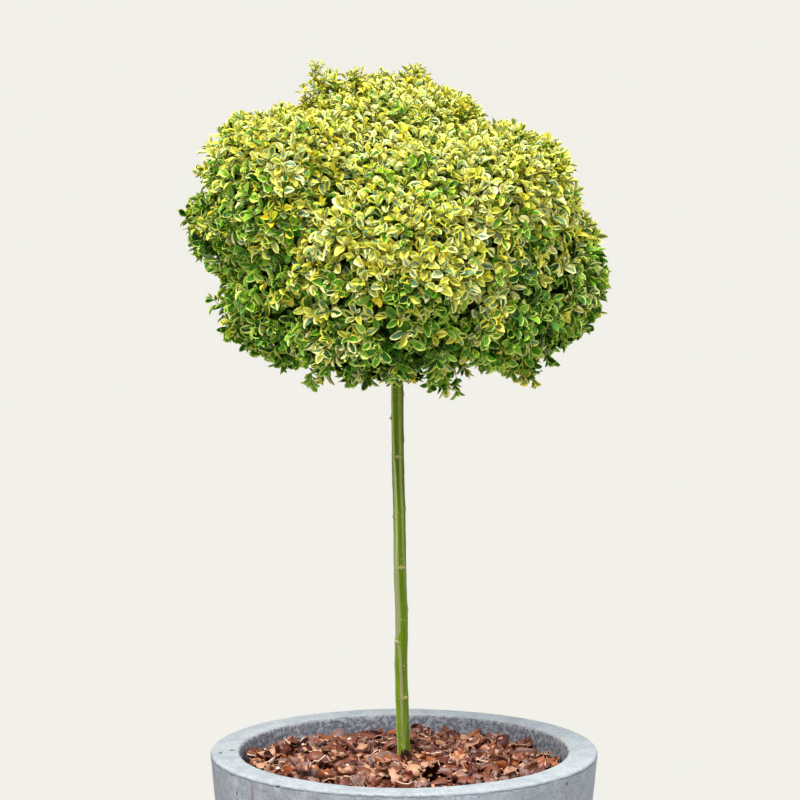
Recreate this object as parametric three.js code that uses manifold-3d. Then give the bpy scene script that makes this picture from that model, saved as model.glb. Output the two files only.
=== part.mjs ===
// A lollipop standard: a variegated evergreen spindle trained to a round head on one bare stem,
// growing in a thick-walled concrete planter mulched with nut husks.
// Millimetres, +Z up. The origin is the centre of the pot's flat underside, +X is the plant's
// right and -Y its front.

import * as THREE from 'three';
import { mergeVertices } from 'three/addons/utils/BufferGeometryUtils.js';
import Module from 'manifold-3d';

const wasm = await Module();
wasm.setup();

// ---- Driving dimensions ----

const gap = 0.3; // between pieces that touch
const pot = {
  height: 400, rimRadius: 240, footRadius: 198, wall: 38, floor: 36,
  rimEdge: 11, lipEdge: 7, footEdge: 14, hollowEdge: 24, sides: 44,
};
const soilDepth = 50; // from the rim down to the compost
const mulch = { edgeDepth: 22, middleDepth: 7, brow: 120, stemHole: 12.5, rings: 3 };
const stem = {
  radius: 7.5, headRadius: 6.8, flare: 2.7, flareHeight: 16,
  fork: 985, forkSwell: 2.6, swellHeight: 40, sides: 12, steps: 20,
};
// The stem's lean and slight kinks: height above the pot's foot, shift to the right, shift back.
const stemBends = [
  [350, 0.6, 0], [368, 0.6, 0], [430, -1.4, 0.6], [515, -3.8, 1.6], [556, -2.7, 1.2],
  [612, -4.8, -0.4], [690, -5.6, -1.4], [760, -7.5, -0.2], [860, -8.2, 1.5], [985, -8, 0],
];
const headCentre = new THREE.Vector3(-8, 0, 1030);
// The leafless space round the fork, and the throat by which the stem comes up into it.
const heart = { height: 1004, radius: 108, rise: 88, throatRadius: 26, throatLength: 230 };
// The round of the head that its lobes stand out of.
const core = { height: 1038, size: [216, 212, 152] };
const fullness = 2.5; // 2 is an ellipsoid, more is fuller-cheeked
const seam = 0.6; // between one mass of leaves and the next
const blockSide = 900; // of the blocks that cut the masses apart, wider than the head
const lumps = { count: 15, lowest: -0.045, highest: 0.085, spread: 0.085 };
const bough = { radius: 4.2, entryRadius: 2.5, rise: 0.35, pull: 0.38, sides: 6, steps: 4 };
// Where the boughs to each tier of masses leave the stem, every second one a step higher.
// The top's own bough goes on from the fork.
const boughHeight = { skirt: 926, waist: 944, shoulder: 960, top: stem.fork + gap };
const boughStagger = 7;

// Each mass of leaves: where its middle lies round the head, and its size outwards, across and up.
// Its sprigs are the tips of leaders that stand out of it.
const masses = [
  {
    name: 'top', azimuth: 180, reach: 9, lift: 104, size: [122, 118, 88], seed: 3,
    sprigs: [
      [-106, 6, 1246], [-116, -12, 1216], [-56, -20, 1238], [-18, 14, 1236], [19, 8, 1241], [56, -26, 1212],
    ],
  },
  {
    name: 'shoulder_front_left', azimuth: 213, reach: 141, lift: 66, size: [118, 118, 96], seed: 11,
    sprigs: [[-150, -60, 1200], [-208, -70, 1187], [-240, -84, 1112]],
  },
  {
    name: 'shoulder_front_right', azimuth: 323, reach: 124, lift: 46, size: [108, 116, 95], seed: 23,
    sprigs: [[131, -84, 1182], [184, -60, 1156]],
  },
  {
    name: 'shoulder_back_right', azimuth: 40, reach: 124, lift: 36, size: [108, 118, 93], seed: 31,
    sprigs: [[92, 120, 1166], [170, 130, 1106]],
  },
  {
    name: 'shoulder_back_left', azimuth: 143, reach: 136, lift: 46, size: [116, 120, 94], seed: 43,
    sprigs: [[-150, 120, 1172], [-216, 120, 1106]],
  },
  {
    name: 'waist_left', azimuth: 182, reach: 146, lift: 14, size: [108, 112, 68], seed: 5,
    sprigs: [[-268, -20, 1064], [-270, 10, 1022]],
  },
  {
    name: 'waist_right', azimuth: 358, reach: 136, lift: -42, size: [113, 122, 94], seed: 13,
    sprigs: [[250, -16, 978], [242, 26, 1000], [227, -30, 1062]],
  },
  {
    name: 'waist_front', azimuth: 268, reach: 128, lift: 0, size: [116, 128, 98], seed: 29,
    sprigs: [[-30, -252, 1040], [62, -248, 990]],
  },
  {
    name: 'waist_back', azimuth: 93, reach: 128, lift: 4, size: [114, 128, 98], seed: 37,
    sprigs: [[20, 250, 1050], [-60, 244, 1000]],
  },
  {
    name: 'skirt_left', azimuth: 203, reach: 118, lift: -63, size: [106, 112, 76], seed: 7,
    sprigs: [[-250, -50, 966], [-150, -110, 884]],
  },
  {
    name: 'skirt_front', azimuth: 262, reach: 118, lift: -78, size: [104, 112, 78], seed: 53,
    sprigs: [[-89, -135, 870], [42, -130, 863]],
  },
  {
    name: 'skirt_right', azimuth: 322, reach: 120, lift: -68, size: [108, 112, 78], seed: 17,
    sprigs: [[60, -118, 866], [150, -110, 873], [176, -80, 886]],
  },
  {
    name: 'skirt_back_right', azimuth: 38, reach: 120, lift: -72, size: [110, 118, 76], seed: 41,
    sprigs: [[120, 90, 872], [186, 116, 906]],
  },
  {
    name: 'skirt_back_left', azimuth: 125, reach: 120, lift: -70, size: [110, 120, 76], seed: 47,
    sprigs: [[-110, 110, 872], [-180, 110, 906]],
  },
];

// ---- Materials ----

const concrete = new THREE.MeshStandardMaterial({ color: 0xb4b8bf, roughness: 0.85, metalness: 0 });
const compost = new THREE.MeshStandardMaterial({ color: 0x2b1e16, roughness: 1, metalness: 0 });
const husks = new THREE.MeshStandardMaterial({ color: 0x8a4a30, roughness: 0.8, metalness: 0 });
const greenBark = new THREE.MeshStandardMaterial({ color: 0x7f9a35, roughness: 0.6, metalness: 0 });
const brownBark = new THREE.MeshStandardMaterial({ color: 0x6b6136, roughness: 0.75, metalness: 0 });
const leaves = new THREE.MeshStandardMaterial({ color: 0xb9c24a, roughness: 0.5, metalness: 0 });

// ---- Solids ----

/** Merges a geometry's shared vertices and drops the triangles that collapse, so that it closes. */
function closed(geometry) {
  const bare = geometry.clone();
  bare.deleteAttribute('normal');
  bare.deleteAttribute('uv');
  const merged = mergeVertices(bare, 1e-4);
  const corners = merged.index.array;
  const kept = [];
  for (let i = 0; i < corners.length; i += 3) {
    const [a, b, c] = corners.slice(i, i + 3);
    if (a !== b && b !== c && c !== a) {
      kept.push(a, b, c);
    }
  }
  merged.setIndex(kept);
  return merged;
}

function solid(geometry) {
  return new wasm.Manifold(new wasm.Mesh({
    numProp: 3,
    vertProperties: new Float32Array(geometry.attributes.position.array),
    triVerts: new Uint32Array(geometry.index.array),
  }));
}

function geometryOf(manifold) {
  const mesh = manifold.getMesh();
  const geometry = new THREE.BufferGeometry();
  geometry.setAttribute('position', new THREE.BufferAttribute(mesh.vertProperties, 3));
  geometry.setIndex(new THREE.BufferAttribute(mesh.triVerts, 1));
  return geometry;
}

/** Turns an outline of [radius, height] points about the Z axis. */
function turned(outline) {
  return closed(new THREE.LatheGeometry(outline, pot.sides).rotateX(Math.PI / 2));
}

/**
 * A round limb that tapers along a curve: a straight cylinder whose rings are laid on the curve.
 * radiusAt gives its radius from how far along it a ring is, 0 to 1.
 */
function limb(curve, radiusAt, sides, steps) {
  const geometry = closed(new THREE.CylinderGeometry(1, 1, 1, sides, steps));
  const frames = curve.computeFrenetFrames(steps);
  const at = geometry.attributes.position;
  for (let i = 0; i < at.count; i += 1) {
    const along = at.getY(i) + 0.5;
    const ring = Math.round(along * steps);
    const point = curve.getPointAt(along);
    point.addScaledVector(frames.binormals[ring], at.getX(i) * radiusAt(along));
    point.addScaledVector(frames.normals[ring], at.getZ(i) * radiusAt(along));
    at.setXYZ(i, point.x, point.y, point.z);
  }
  return geometry;
}

/** Seeded random numbers from 0 to 1. */
function randomFrom(seed) {
  let state = seed * 7919 + 17;
  return () => {
    state = (state * 1664525 + 1013904223) % 4294967296;
    return state / 4294967296;
  };
}

// ---- Pot, compost and mulch ----

const slant = (pot.rimRadius - pot.footRadius) / pot.height;
const outerRadius = (height) => pot.footRadius + slant * height;
const innerRadius = (height) => outerRadius(height) - pot.wall;

function potOutline() {
  const line = new THREE.Path();
  line.moveTo(0, 0);
  line.lineTo(pot.footRadius - pot.footEdge, 0);
  line.quadraticCurveTo(pot.footRadius, 0, outerRadius(pot.footEdge), pot.footEdge);
  line.lineTo(outerRadius(pot.height - pot.rimEdge), pot.height - pot.rimEdge);
  line.quadraticCurveTo(pot.rimRadius, pot.height, pot.rimRadius - pot.rimEdge, pot.height);
  line.lineTo(innerRadius(pot.height) + pot.lipEdge, pot.height);
  const lip = pot.height - pot.lipEdge;
  line.quadraticCurveTo(innerRadius(pot.height), pot.height, innerRadius(lip), lip);
  const corner = pot.floor + pot.hollowEdge;
  line.lineTo(innerRadius(corner), corner);
  line.lineTo(innerRadius(pot.floor) - pot.hollowEdge, pot.floor);
  line.lineTo(0, pot.floor);
  return line.getPoints(3);
}

function compostOutline() {
  const top = pot.height - soilDepth;
  const corner = pot.floor + pot.hollowEdge;
  return [
    new THREE.Vector2(0, pot.floor + gap),
    new THREE.Vector2(innerRadius(pot.floor) - pot.hollowEdge - gap, pot.floor + gap),
    new THREE.Vector2(innerRadius(corner) - 1.5 * gap, corner),
    new THREE.Vector2(innerRadius(top) - gap, top),
    new THREE.Vector2(0, top),
  ];
}

/** The mulch is a ring round the stem, higher in the middle. */
function mulchOutline() {
  const bottom = pot.height - soilDepth + gap;
  const edge = pot.height - mulch.edgeDepth;
  const middle = pot.height - mulch.middleDepth;
  const line = new THREE.Path();
  line.moveTo(mulch.stemHole, bottom);
  line.lineTo(innerRadius(bottom) - gap, bottom);
  line.lineTo(innerRadius(edge) - gap, edge);
  line.quadraticCurveTo(mulch.brow, middle, mulch.stemHole, middle);
  line.lineTo(mulch.stemHole, bottom);
  return line.getPoints(mulch.rings);
}

// ---- Stem ----

const soilTop = pot.height - soilDepth;
const stemCurve = new THREE.CatmullRomCurve3(stemBends.map(([up, right, back]) => (
  new THREE.Vector3(right, back, up)
)));

function stemRadius(along) {
  const height = along * (stem.fork - soilTop);
  const belowFork = stem.fork - soilTop - height;
  const taper = THREE.MathUtils.lerp(stem.radius, stem.headRadius, along);
  const flare = stem.flare * Math.exp(-height / stem.flareHeight);
  const swell = stem.forkSwell * Math.exp(-((belowFork / stem.swellHeight) ** 2));
  return taper + flare + swell;
}

/** The stem grown outwards by a margin, cut flat just above the soil and at the fork. */
function stemShape(margin) {
  const shape = limb(stemCurve, (along) => stemRadius(along) + margin, stem.sides, stem.steps);
  const at = shape.attributes.position;
  for (let i = 0; i < at.count; i += 1) {
    at.setZ(i, THREE.MathUtils.clamp(at.getZ(i), soilTop + gap, stem.fork));
  }
  return shape;
}

// ---- Masses of leaves ----

const turnBy = (degrees) => new THREE.Quaternion().setFromAxisAngle(
  new THREE.Vector3(0, 0, 1), THREE.MathUtils.degToRad(degrees),
);

function middleOf(mass) {
  const out = new THREE.Vector3(mass.reach, 0, mass.lift).applyQuaternion(turnBy(mass.azimuth));
  return out.add(headCentre);
}

/** Lumps at seeded places over a mass, each a smooth swelling about its own direction. */
function lumpsOf(mass) {
  const random = randomFrom(mass.seed);
  return Array.from({ length: lumps.count }, () => {
    const up = 2 * random() - 1;
    const round = 2 * Math.PI * random();
    const flat = Math.sqrt(1 - up * up);
    return {
      towards: new THREE.Vector3(flat * Math.cos(round), flat * Math.sin(round), up),
      height: THREE.MathUtils.lerp(lumps.lowest, lumps.highest, random()),
    };
  });
}

/** Moves the vertex that lies nearest to a sprig's line out to the sprig's tip. */
function raiseSprig(at, middle, tip) {
  const line = tip.clone().sub(middle).normalize();
  let best = 0;
  let bestDot = -1;
  for (let i = 0; i < at.count; i += 1) {
    const dot = new THREE.Vector3().fromBufferAttribute(at, i).sub(middle).normalize().dot(line);
    if (dot > bestDot) {
      bestDot = dot;
      best = i;
    }
  }
  at.setXYZ(best, tip.x, tip.y, tip.z);
}

/** How far from its middle a full-cheeked ball of half-size 1 reaches in a direction. */
function fullReach(out) {
  const power = Math.abs(out.x) ** fullness + Math.abs(out.y) ** fullness + Math.abs(out.z) ** fullness;
  return 1 / power ** (1 / fullness);
}

/** One uneven, full-cheeked lobe with its lumps and its sprigs. */
function lobe(mass) {
  const geometry = closed(new THREE.IcosahedronGeometry(1, 4));
  const middle = middleOf(mass);
  const turn = turnBy(mass.azimuth);
  const swellings = lumpsOf(mass);
  const at = geometry.attributes.position;
  for (let i = 0; i < at.count; i += 1) {
    const out = new THREE.Vector3().fromBufferAttribute(at, i).normalize();
    const uneven = swellings.reduce((sum, lump) => (
      sum + lump.height * Math.exp((out.dot(lump.towards) - 1) / lumps.spread)
    ), 1);
    const point = out.clone().multiplyScalar(uneven * fullReach(out));
    point.multiply(new THREE.Vector3(...mass.size)).applyQuaternion(turn).add(middle);
    at.setXYZ(i, point.x, point.y, point.z);
  }
  for (const sprig of mass.sprigs) {
    raiseSprig(at, middle, new THREE.Vector3(...sprig));
  }
  return geometry;
}

/**
 * A big block whose near face stands square to the line from one mass to the next, and shares the
 * line between them by their sizes.
 */
function blockBeyond(mass, next) {
  const from = middleOf(mass);
  const line = middleOf(next).sub(from);
  const distance = line.length();
  line.normalize();
  const [own, other] = [Math.hypot(...mass.size), Math.hypot(...next.size)];
  const near = distance * (own / (own + other)) - seam / 2;
  const block = new THREE.BoxGeometry(blockSide, blockSide, blockSide);
  block.applyQuaternion(new THREE.Quaternion().setFromUnitVectors(new THREE.Vector3(1, 0, 0), line));
  const centre = from.addScaledVector(line, near + blockSide / 2);
  return solid(closed(block.translate(centre.x, centre.y, centre.z)));
}

function coreSolid() {
  const geometry = closed(new THREE.IcosahedronGeometry(1, 4));
  const at = geometry.attributes.position;
  for (let i = 0; i < at.count; i += 1) {
    const out = new THREE.Vector3().fromBufferAttribute(at, i).normalize();
    const point = out.clone().multiplyScalar(fullReach(out)).multiply(new THREE.Vector3(...core.size));
    at.setXYZ(i, headCentre.x + point.x, headCentre.y + point.y, core.height + point.z);
  }
  return solid(geometry);
}

/** The leafless heart and its throat as one solid. */
function heartSolid() {
  const ball = new THREE.IcosahedronGeometry(1, 3).scale(heart.radius, heart.radius, heart.rise);
  const throat = new THREE.CylinderGeometry(
    heart.throatRadius, heart.throatRadius, heart.throatLength, stem.sides,
  );
  throat.rotateX(Math.PI / 2);
  throat.translate(headCentre.x, headCentre.y, heart.height - heart.throatLength / 2);
  const space = solid(closed(ball.translate(headCentre.x, headCentre.y, heart.height)));
  return space.add(solid(closed(throat)));
}

/** A mass is its lobe and its share of the core, cut off from the other masses and the heart. */
function massSolid(mass, round, space) {
  let body = solid(lobe(mass)).add(round);
  for (const next of masses) {
    if (next !== mass) {
      body = body.subtract(blockBeyond(mass, next));
    }
  }
  return body.subtract(space);
}

// ---- Boughs ----

/** Where a line from the heart meets a mass, less the little that keeps a slanting end clear. */
function entryOf(massMesh, mass) {
  const from = new THREE.Vector3(headCentre.x, headCentre.y, heart.height);
  const line = middleOf(mass).sub(from).normalize();
  const [hit] = new THREE.Raycaster(from, line).intersectObject(massMesh);
  const slope = Math.acos(Math.min(1, Math.abs(hit.face.normal.dot(line))));
  const short = 2 * gap + 1.4 * bough.entryRadius * Math.tan(slope);
  return { point: hit.point.addScaledVector(line, -short), line };
}

/** One bough, from the stem's side at its tier's height, out and up or down to its mass. */
function boughSolid(mass, order, entry) {
  const [tier] = mass.name.split('_');
  const isLeader = tier === 'top';
  const height = boughHeight[tier] + (isLeader ? 0 : (order % 2) * boughStagger);
  const start = new THREE.Vector3(headCentre.x, headCentre.y, height);
  const away = entry.point.clone().sub(start);
  const level = new THREE.Vector3(away.x, away.y, 0).normalize();
  const rise = isLeader ? new THREE.Vector3(0, 0, 1) : level.setZ(bough.rise).normalize();
  const pull = away.length() * bough.pull;
  const curve = new THREE.CubicBezierCurve3(
    start,
    start.clone().addScaledVector(rise, pull),
    entry.point.clone().addScaledVector(entry.line, -pull),
    entry.point,
  );
  const radiusAt = (along) => THREE.MathUtils.lerp(bough.radius, bough.entryRadius, along);
  return solid(limb(curve, radiusAt, bough.sides, bough.steps)).subtract(solid(stemShape(gap)));
}

// ---- The plant and its pot ----

const part = new THREE.Group();

function place(name, geometry, material) {
  const mesh = new THREE.Mesh(geometry, material);
  mesh.name = name;
  part.add(mesh);
  return mesh;
}

place('pot', turned(potOutline()), concrete);
place('compost', turned(compostOutline()), compost);
place('mulch', turned(mulchOutline()), husks);
place('stem', stemShape(0), greenBark);

const round = coreSolid();
const space = heartSolid();
masses.forEach((mass, order) => {
  const massMesh = place(`foliage_${mass.name}`, geometryOf(massSolid(mass, round, space)), leaves);
  const entry = entryOf(massMesh, mass);
  place(`bough_${mass.name}`, geometryOf(boughSolid(mass, order, entry)), brownBark);
});

export default part;
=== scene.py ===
"""Looks of a variegated evergreen spindle standard in a concrete planter.

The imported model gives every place. Each class makes one sub-assembly round it, in metres.
"""

import logging
import math
from collections.abc import Callable, Iterable, Sequence
from dataclasses import dataclass, field
from enum import Enum
from itertools import product

import bmesh
import bpy
import numpy as np
from bmesh.types import BMEdge, BMesh, BMVert
from bpy.types import Material, Mesh, Node, NodeSocket, NodeTree, Object
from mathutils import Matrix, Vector, noise
from mathutils.bvhtree import BVHTree
from mathutils.kdtree import KDTree


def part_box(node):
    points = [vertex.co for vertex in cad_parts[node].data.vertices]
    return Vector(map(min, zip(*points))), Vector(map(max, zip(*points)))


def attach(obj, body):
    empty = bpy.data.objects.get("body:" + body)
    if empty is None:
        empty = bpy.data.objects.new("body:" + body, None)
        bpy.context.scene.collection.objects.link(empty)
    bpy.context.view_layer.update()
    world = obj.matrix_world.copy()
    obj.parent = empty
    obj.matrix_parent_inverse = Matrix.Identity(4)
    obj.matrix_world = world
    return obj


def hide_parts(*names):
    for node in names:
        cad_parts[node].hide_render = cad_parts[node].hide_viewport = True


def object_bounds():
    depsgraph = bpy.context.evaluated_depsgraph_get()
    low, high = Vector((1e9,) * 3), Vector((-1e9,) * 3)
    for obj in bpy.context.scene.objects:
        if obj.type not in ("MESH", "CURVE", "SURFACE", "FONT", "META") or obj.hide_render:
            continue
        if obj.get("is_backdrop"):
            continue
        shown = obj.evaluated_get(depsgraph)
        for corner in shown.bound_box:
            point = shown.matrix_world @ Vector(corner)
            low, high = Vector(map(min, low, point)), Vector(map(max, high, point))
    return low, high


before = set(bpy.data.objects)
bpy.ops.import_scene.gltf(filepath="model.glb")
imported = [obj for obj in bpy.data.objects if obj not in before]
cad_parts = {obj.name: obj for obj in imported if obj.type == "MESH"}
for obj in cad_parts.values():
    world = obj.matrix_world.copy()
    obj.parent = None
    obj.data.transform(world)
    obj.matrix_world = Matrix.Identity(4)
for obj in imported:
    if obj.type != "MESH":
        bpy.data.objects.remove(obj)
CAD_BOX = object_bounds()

log = logging.getLogger("spindle_standard")

ROOT = "root"
MM = 0.001
UP = np.array([0.0, 0.0, 1.0])
TAU = 2 * math.pi
WELD = 1e-5
TINY = 1e-12

Array = np.ndarray
Rng = np.random.Generator
Numbers = tuple[float, ...]
Point = tuple[float, float, float]
Rows = tuple[tuple, ...]


# ---------------- small helpers


def linear(chart: str) -> Numbers:
    """Turns a paint chart's hex colour into linear values.

    Args:
        chart: A colour such as "#c8d040".

    Returns:
        Red, green, blue and alpha.
    """
    knee, gain, offset, power = 0.04045, 12.92, 0.055, 2.4
    levels = [int(chart[i : i + 2], 16) / 255 for i in (1, 3, 5)]
    return (*(c / gain if c <= knee else ((c + offset) / (1 + offset)) ** power for c in levels), 1.0)


def unit(rows: Array) -> Array:
    """Scales each vector along the last axis to length one."""
    return rows / np.maximum(np.linalg.norm(rows, axis=-1, keepdims=True), TINY)


def smooth_share(values: Array, low: float, high: float) -> Array:
    """Eases values from 0 at low to 1 at high."""
    share = np.clip((values - low) / (high - low), 0, 1)
    return share * share * (3 - 2 * share)


def between(ends: Numbers, share: Array) -> Array:
    """Gives the first number plus that share of the second."""
    return ends[0] + ends[1] * share


def off_axis(points: Array, x: float, y: float, across: Sequence[int] = (0, 1)) -> Array:
    """Gives how far points lie from a spot, measured along two axes."""
    return np.hypot(points[:, across[0]] - x, points[:, across[1]] - y)


def packed_corners(node: str) -> Array:
    """Gives the corner points of a CAD node's loose triangles."""
    return np.array([tuple(v.co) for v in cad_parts[node].data.vertices])


def distinct(points: Array) -> Array:
    """Keeps one of each set of points that lie together."""
    return np.unique(np.round(points, 5), axis=0)


def slots_of(tones: type[Enum], names: str) -> Array:
    """Gives the material slots of tones that are named in a row, with spaces between."""
    return np.array([list(tones).index(tones[name]) for name in names.split()])


def object_from(mesh: Mesh, materials: Iterable[Material]) -> Object:
    """Puts a mesh in the scene.

    Args:
        mesh: The mesh, already at its place.
        materials: Its materials, in slot order.

    Returns:
        The new object.
    """
    for material in materials:
        mesh.materials.append(material)
    obj = bpy.data.objects.new(mesh.name, mesh)
    bpy.context.scene.collection.objects.link(obj)
    return obj


def piece(mesh: Mesh, materials: Iterable[Material], node: str) -> None:
    """Makes a finished piece on the root body.

    Args:
        mesh: The mesh, already at its place.
        materials: Its materials, in slot order.
        node: The CAD node that it stands for.
    """
    obj = object_from(mesh, materials)
    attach(obj, ROOT)
    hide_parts(node)
    log.info("%s: %d faces", obj.name, len(mesh.polygons))


def mesh_from(name: str, bm: BMesh) -> Mesh:
    """Ends a bmesh as a smooth mesh with its faces outwards.

    Args:
        name: The piece's name.
        bm: The modelled shape, freed afterwards.

    Returns:
        The mesh.
    """
    bmesh.ops.recalc_face_normals(bm, faces=bm.faces)
    for face in bm.faces:
        face.smooth = True
    mesh = bpy.data.meshes.new(name)
    bm.to_mesh(mesh)
    bm.free()
    return mesh


def spun(section: Iterable[tuple[float, float]], steps: int) -> BMesh:
    """Turns a section round the upright axis.

    Args:
        section: Radius and height of each corner, in order.
        steps: Steps round.

    Returns:
        The closed shape.
    """
    bm = bmesh.new()
    line = [bm.verts.new((radius, 0.0, height)) for radius, height in section]
    edges = [bm.edges.new(pair) for pair in zip(line, line[1:])]
    bmesh.ops.spin(
        bm, geom=line + edges, cent=(0, 0, 0), axis=(0, 0, 1), steps=steps, angle=TAU, use_merge=True
    )
    bmesh.ops.remove_doubles(bm, verts=bm.verts, dist=WELD)
    return bm


@dataclass
class Joined:
    """Many small shapes gathered into one mesh."""

    points: list[Array] = field(default_factory=list)
    corners: list[Array] = field(default_factory=list)
    sizes: list[Array] = field(default_factory=list)
    slots: list[Array] = field(default_factory=list)
    count: int = 0

    def add(self, points: Array, faces: Sequence[Array], slots: Sequence[Array]) -> None:
        """Adds copies of one shape.

        Args:
            points: Corner points, (copies, corners, 3).
            faces: For each face size, the corner numbers, (faces, size).
            slots: For each face size, material slots, (copies, faces).
        """
        copies, corners = points.shape[:2]
        shift = self.count + np.arange(copies)[:, None, None] * corners
        for group, slot in zip(faces, slots):
            self.corners.append((group[None] + shift).reshape(-1))
            self.sizes.append(np.full(copies * len(group), group.shape[1]))
            self.slots.append(np.broadcast_to(slot, (copies, len(group))).reshape(-1))
        self.points.append(points.reshape(-1, 3))
        self.count += copies * corners

    def mesh(self, name: str) -> Mesh:
        """Makes the joined mesh, with smooth faces.

        Args:
            name: The piece's name.

        Returns:
            The mesh.
        """
        gathered = (self.points, self.corners, self.sizes, self.slots)
        points, corners, sizes, slots = map(np.concatenate, gathered)
        starts = np.concatenate([[0], np.cumsum(sizes)[:-1]])
        mesh = bpy.data.meshes.new(name)
        mesh.vertices.add(len(points))
        mesh.loops.add(len(corners))
        mesh.polygons.add(len(sizes))
        mesh.vertices.foreach_set("co", points.astype(np.float32).reshape(-1))
        mesh.loops.foreach_set("vertex_index", corners.astype(np.int32))
        mesh.polygons.foreach_set("loop_start", starts.astype(np.int32))
        mesh.polygons.foreach_set("material_index", slots.astype(np.int32))
        mesh.polygons.foreach_set("use_smooth", np.ones(len(sizes), bool))
        mesh.update(calc_edges=True)
        mesh.validate()
        return mesh


# ---------------- shader wiring


class Wiring:
    """Adds and joins the nodes of one shader tree."""

    def __init__(self, tree: NodeTree) -> None:
        """Keeps the tree to work in."""
        self.tree = tree

    def feed(self, socket: NodeSocket, value: object) -> None:
        """Joins an input to a socket, or sets it to a value.

        Args:
            socket: The input.
            value: A socket, a value or a chart colour.
        """
        if isinstance(value, NodeSocket):
            self.tree.links.new(value, socket)
        else:
            socket.default_value = linear(value) if isinstance(value, str) else value

    def add(self, kind: str, values: dict | None = None, **settings: object) -> Node:
        """Adds a node.

        Args:
            kind: The node's type.
            values: Input names or numbers, with what feeds each.
            **settings: The node's own properties.

        Returns:
            The node.
        """
        node = self.tree.nodes.new(kind)
        for name, value in settings.items():
            setattr(node, name, value)
        for name, value in (values or {}).items():
            self.feed(node.inputs[name], value)
        return node

    def maths(self, operation: str, *values: object) -> NodeSocket:
        """Works out a number from its inputs in order."""
        return self.add("ShaderNodeMath", dict(enumerate(values)), operation=operation).outputs[0]

    def vectors(self, operation: str, *values: object, out: str = "Vector") -> NodeSocket:
        """Works out a vector or its length from its inputs in order."""
        return self.add("ShaderNodeVectorMath", dict(enumerate(values)), operation=operation).outputs[out]

    def times(self, first: object, second: object) -> NodeSocket:
        """Multiplies two values."""
        return self.maths("MULTIPLY", first, second)

    def plus(self, first: object, second: object) -> NodeSocket:
        """Adds two values."""
        return self.maths("ADD", first, second)

    def minus(self, first: object, second: object) -> NodeSocket:
        """Takes the second value from the first."""
        return self.maths("SUBTRACT", first, second)

    def mix(self, share: object, first: object, second: object) -> NodeSocket:
        """Mixes two colours, with that share of the second."""
        return self.add("ShaderNodeMix", {0: share, 6: first, 7: second}, data_type="RGBA").outputs[2]

    def ease(
        self, value: NodeSocket, start: float, end: float, low: float = 0.0, high: float = 1.0
    ) -> NodeSocket:
        """Eases a value from low at start to high at end."""
        span = {"Value": value, "From Min": start, "From Max": end, "To Min": low, "To Max": high}
        return self.add("ShaderNodeMapRange", span, interpolation_type="SMOOTHSTEP").outputs[0]

    def coats(self, colour: object, masks: dict[str, NodeSocket], rows: Rows) -> object:
        """Lays colours over one another.

        Args:
            colour: The first colour.
            masks: The masks by name.
            rows: For each coat its mask, its colour and, unless it is full, its share.

        Returns:
            The colour on top.
        """
        for name, chart, *share in rows:
            colour = self.mix(self.times(masks[name], *share) if share else masks[name], colour, chart)
        return colour


def new_group(name: str, inputs: dict[str, float | None]) -> tuple[Wiring, dict, NodeSocket]:
    """Starts a node group with a vector, number inputs and one mask.

    Args:
        name: The group's name.
        inputs: Number inputs with their first values, or None for a vector.

    Returns:
        Its wiring, its inputs by name and the socket for its mask.
    """
    tree = bpy.data.node_groups.new(name, "ShaderNodeTree")
    for label, value in inputs.items():
        kind = "NodeSocketVector" if value is None else "NodeSocketFloat"
        socket = tree.interface.new_socket(name=label, in_out="INPUT", socket_type=kind)
        if value is not None:
            socket.default_value = value
    tree.interface.new_socket(name="Mask", in_out="OUTPUT", socket_type="NodeSocketFloat")
    wire = Wiring(tree)
    given = {s.name: s for s in wire.add("NodeGroupInput").outputs if s.name}
    return wire, given, wire.add("NodeGroupOutput").inputs[0]


class Effects:
    """Node groups that several finishes use."""

    def __init__(self) -> None:
        """Builds each group once."""
        self.mottle = self._mottle()
        self.pores = self._pores()
        self.mark = self._mark()

    def _mottle(self) -> NodeTree:
        """Makes soft uneven patches.

        Returns:
            The group, with a mask that is 1 in the patches.
        """
        names = {"Vector": None, "Scale": 10.0, "Detail": 5.0, "Low": 0.4, "High": 0.6}
        wire, given, end = new_group("mottle", names)
        spread = {name: given[name] for name in ("Vector", "Scale", "Detail")}
        cloud = wire.add("ShaderNodeTexNoise", spread).outputs[0]
        wire.feed(end, wire.ease(cloud, given["Low"], given["High"]))
        return wire.tree

    def _pores(self) -> NodeTree:
        """Makes scattered round pores or lenticels.

        Returns:
            The group, with a mask that is 1 in the pores.
        """
        names = {"Vector": None, "Scale": 100.0, "Share": 0.3, "Radius": 0.3}
        wire, given, end = new_group("pores", names)
        spread = {name: given[name] for name in ("Vector", "Scale")}
        cells = wire.add("ShaderNodeTexVoronoi", spread).outputs
        near = wire.ease(cells["Distance"], given["Radius"], 0.0)
        draw = wire.add("ShaderNodeSeparateColor", {"Color": cells["Color"]}).outputs[0]
        wire.feed(end, wire.times(near, wire.maths("LESS_THAN", draw, given["Share"])))
        return wire.tree

    def _mark(self) -> NodeTree:
        """Makes one ragged blot at a named place.

        Returns:
            The group, with a mask that is 1 in the blot.
        """
        outer, inner = 1.25, 0.85
        names = {"Vector": None, "Centre": None, "Size": None, "Grain": 300.0, "Rough": 0.5}
        wire, given, end = new_group("mark", names)
        away = wire.vectors("SUBTRACT", given["Vector"], given["Centre"])
        length = wire.vectors("LENGTH", wire.vectors("DIVIDE", away, given["Size"]), out="Value")
        spread = {"Vector": given["Vector"], "Scale": given["Grain"]}
        ragged = wire.times(wire.add("ShaderNodeTexNoise", spread).outputs[0], given["Rough"])
        wire.feed(end, wire.ease(wire.plus(length, ragged), outer, inner))
        return wire.tree


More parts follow.
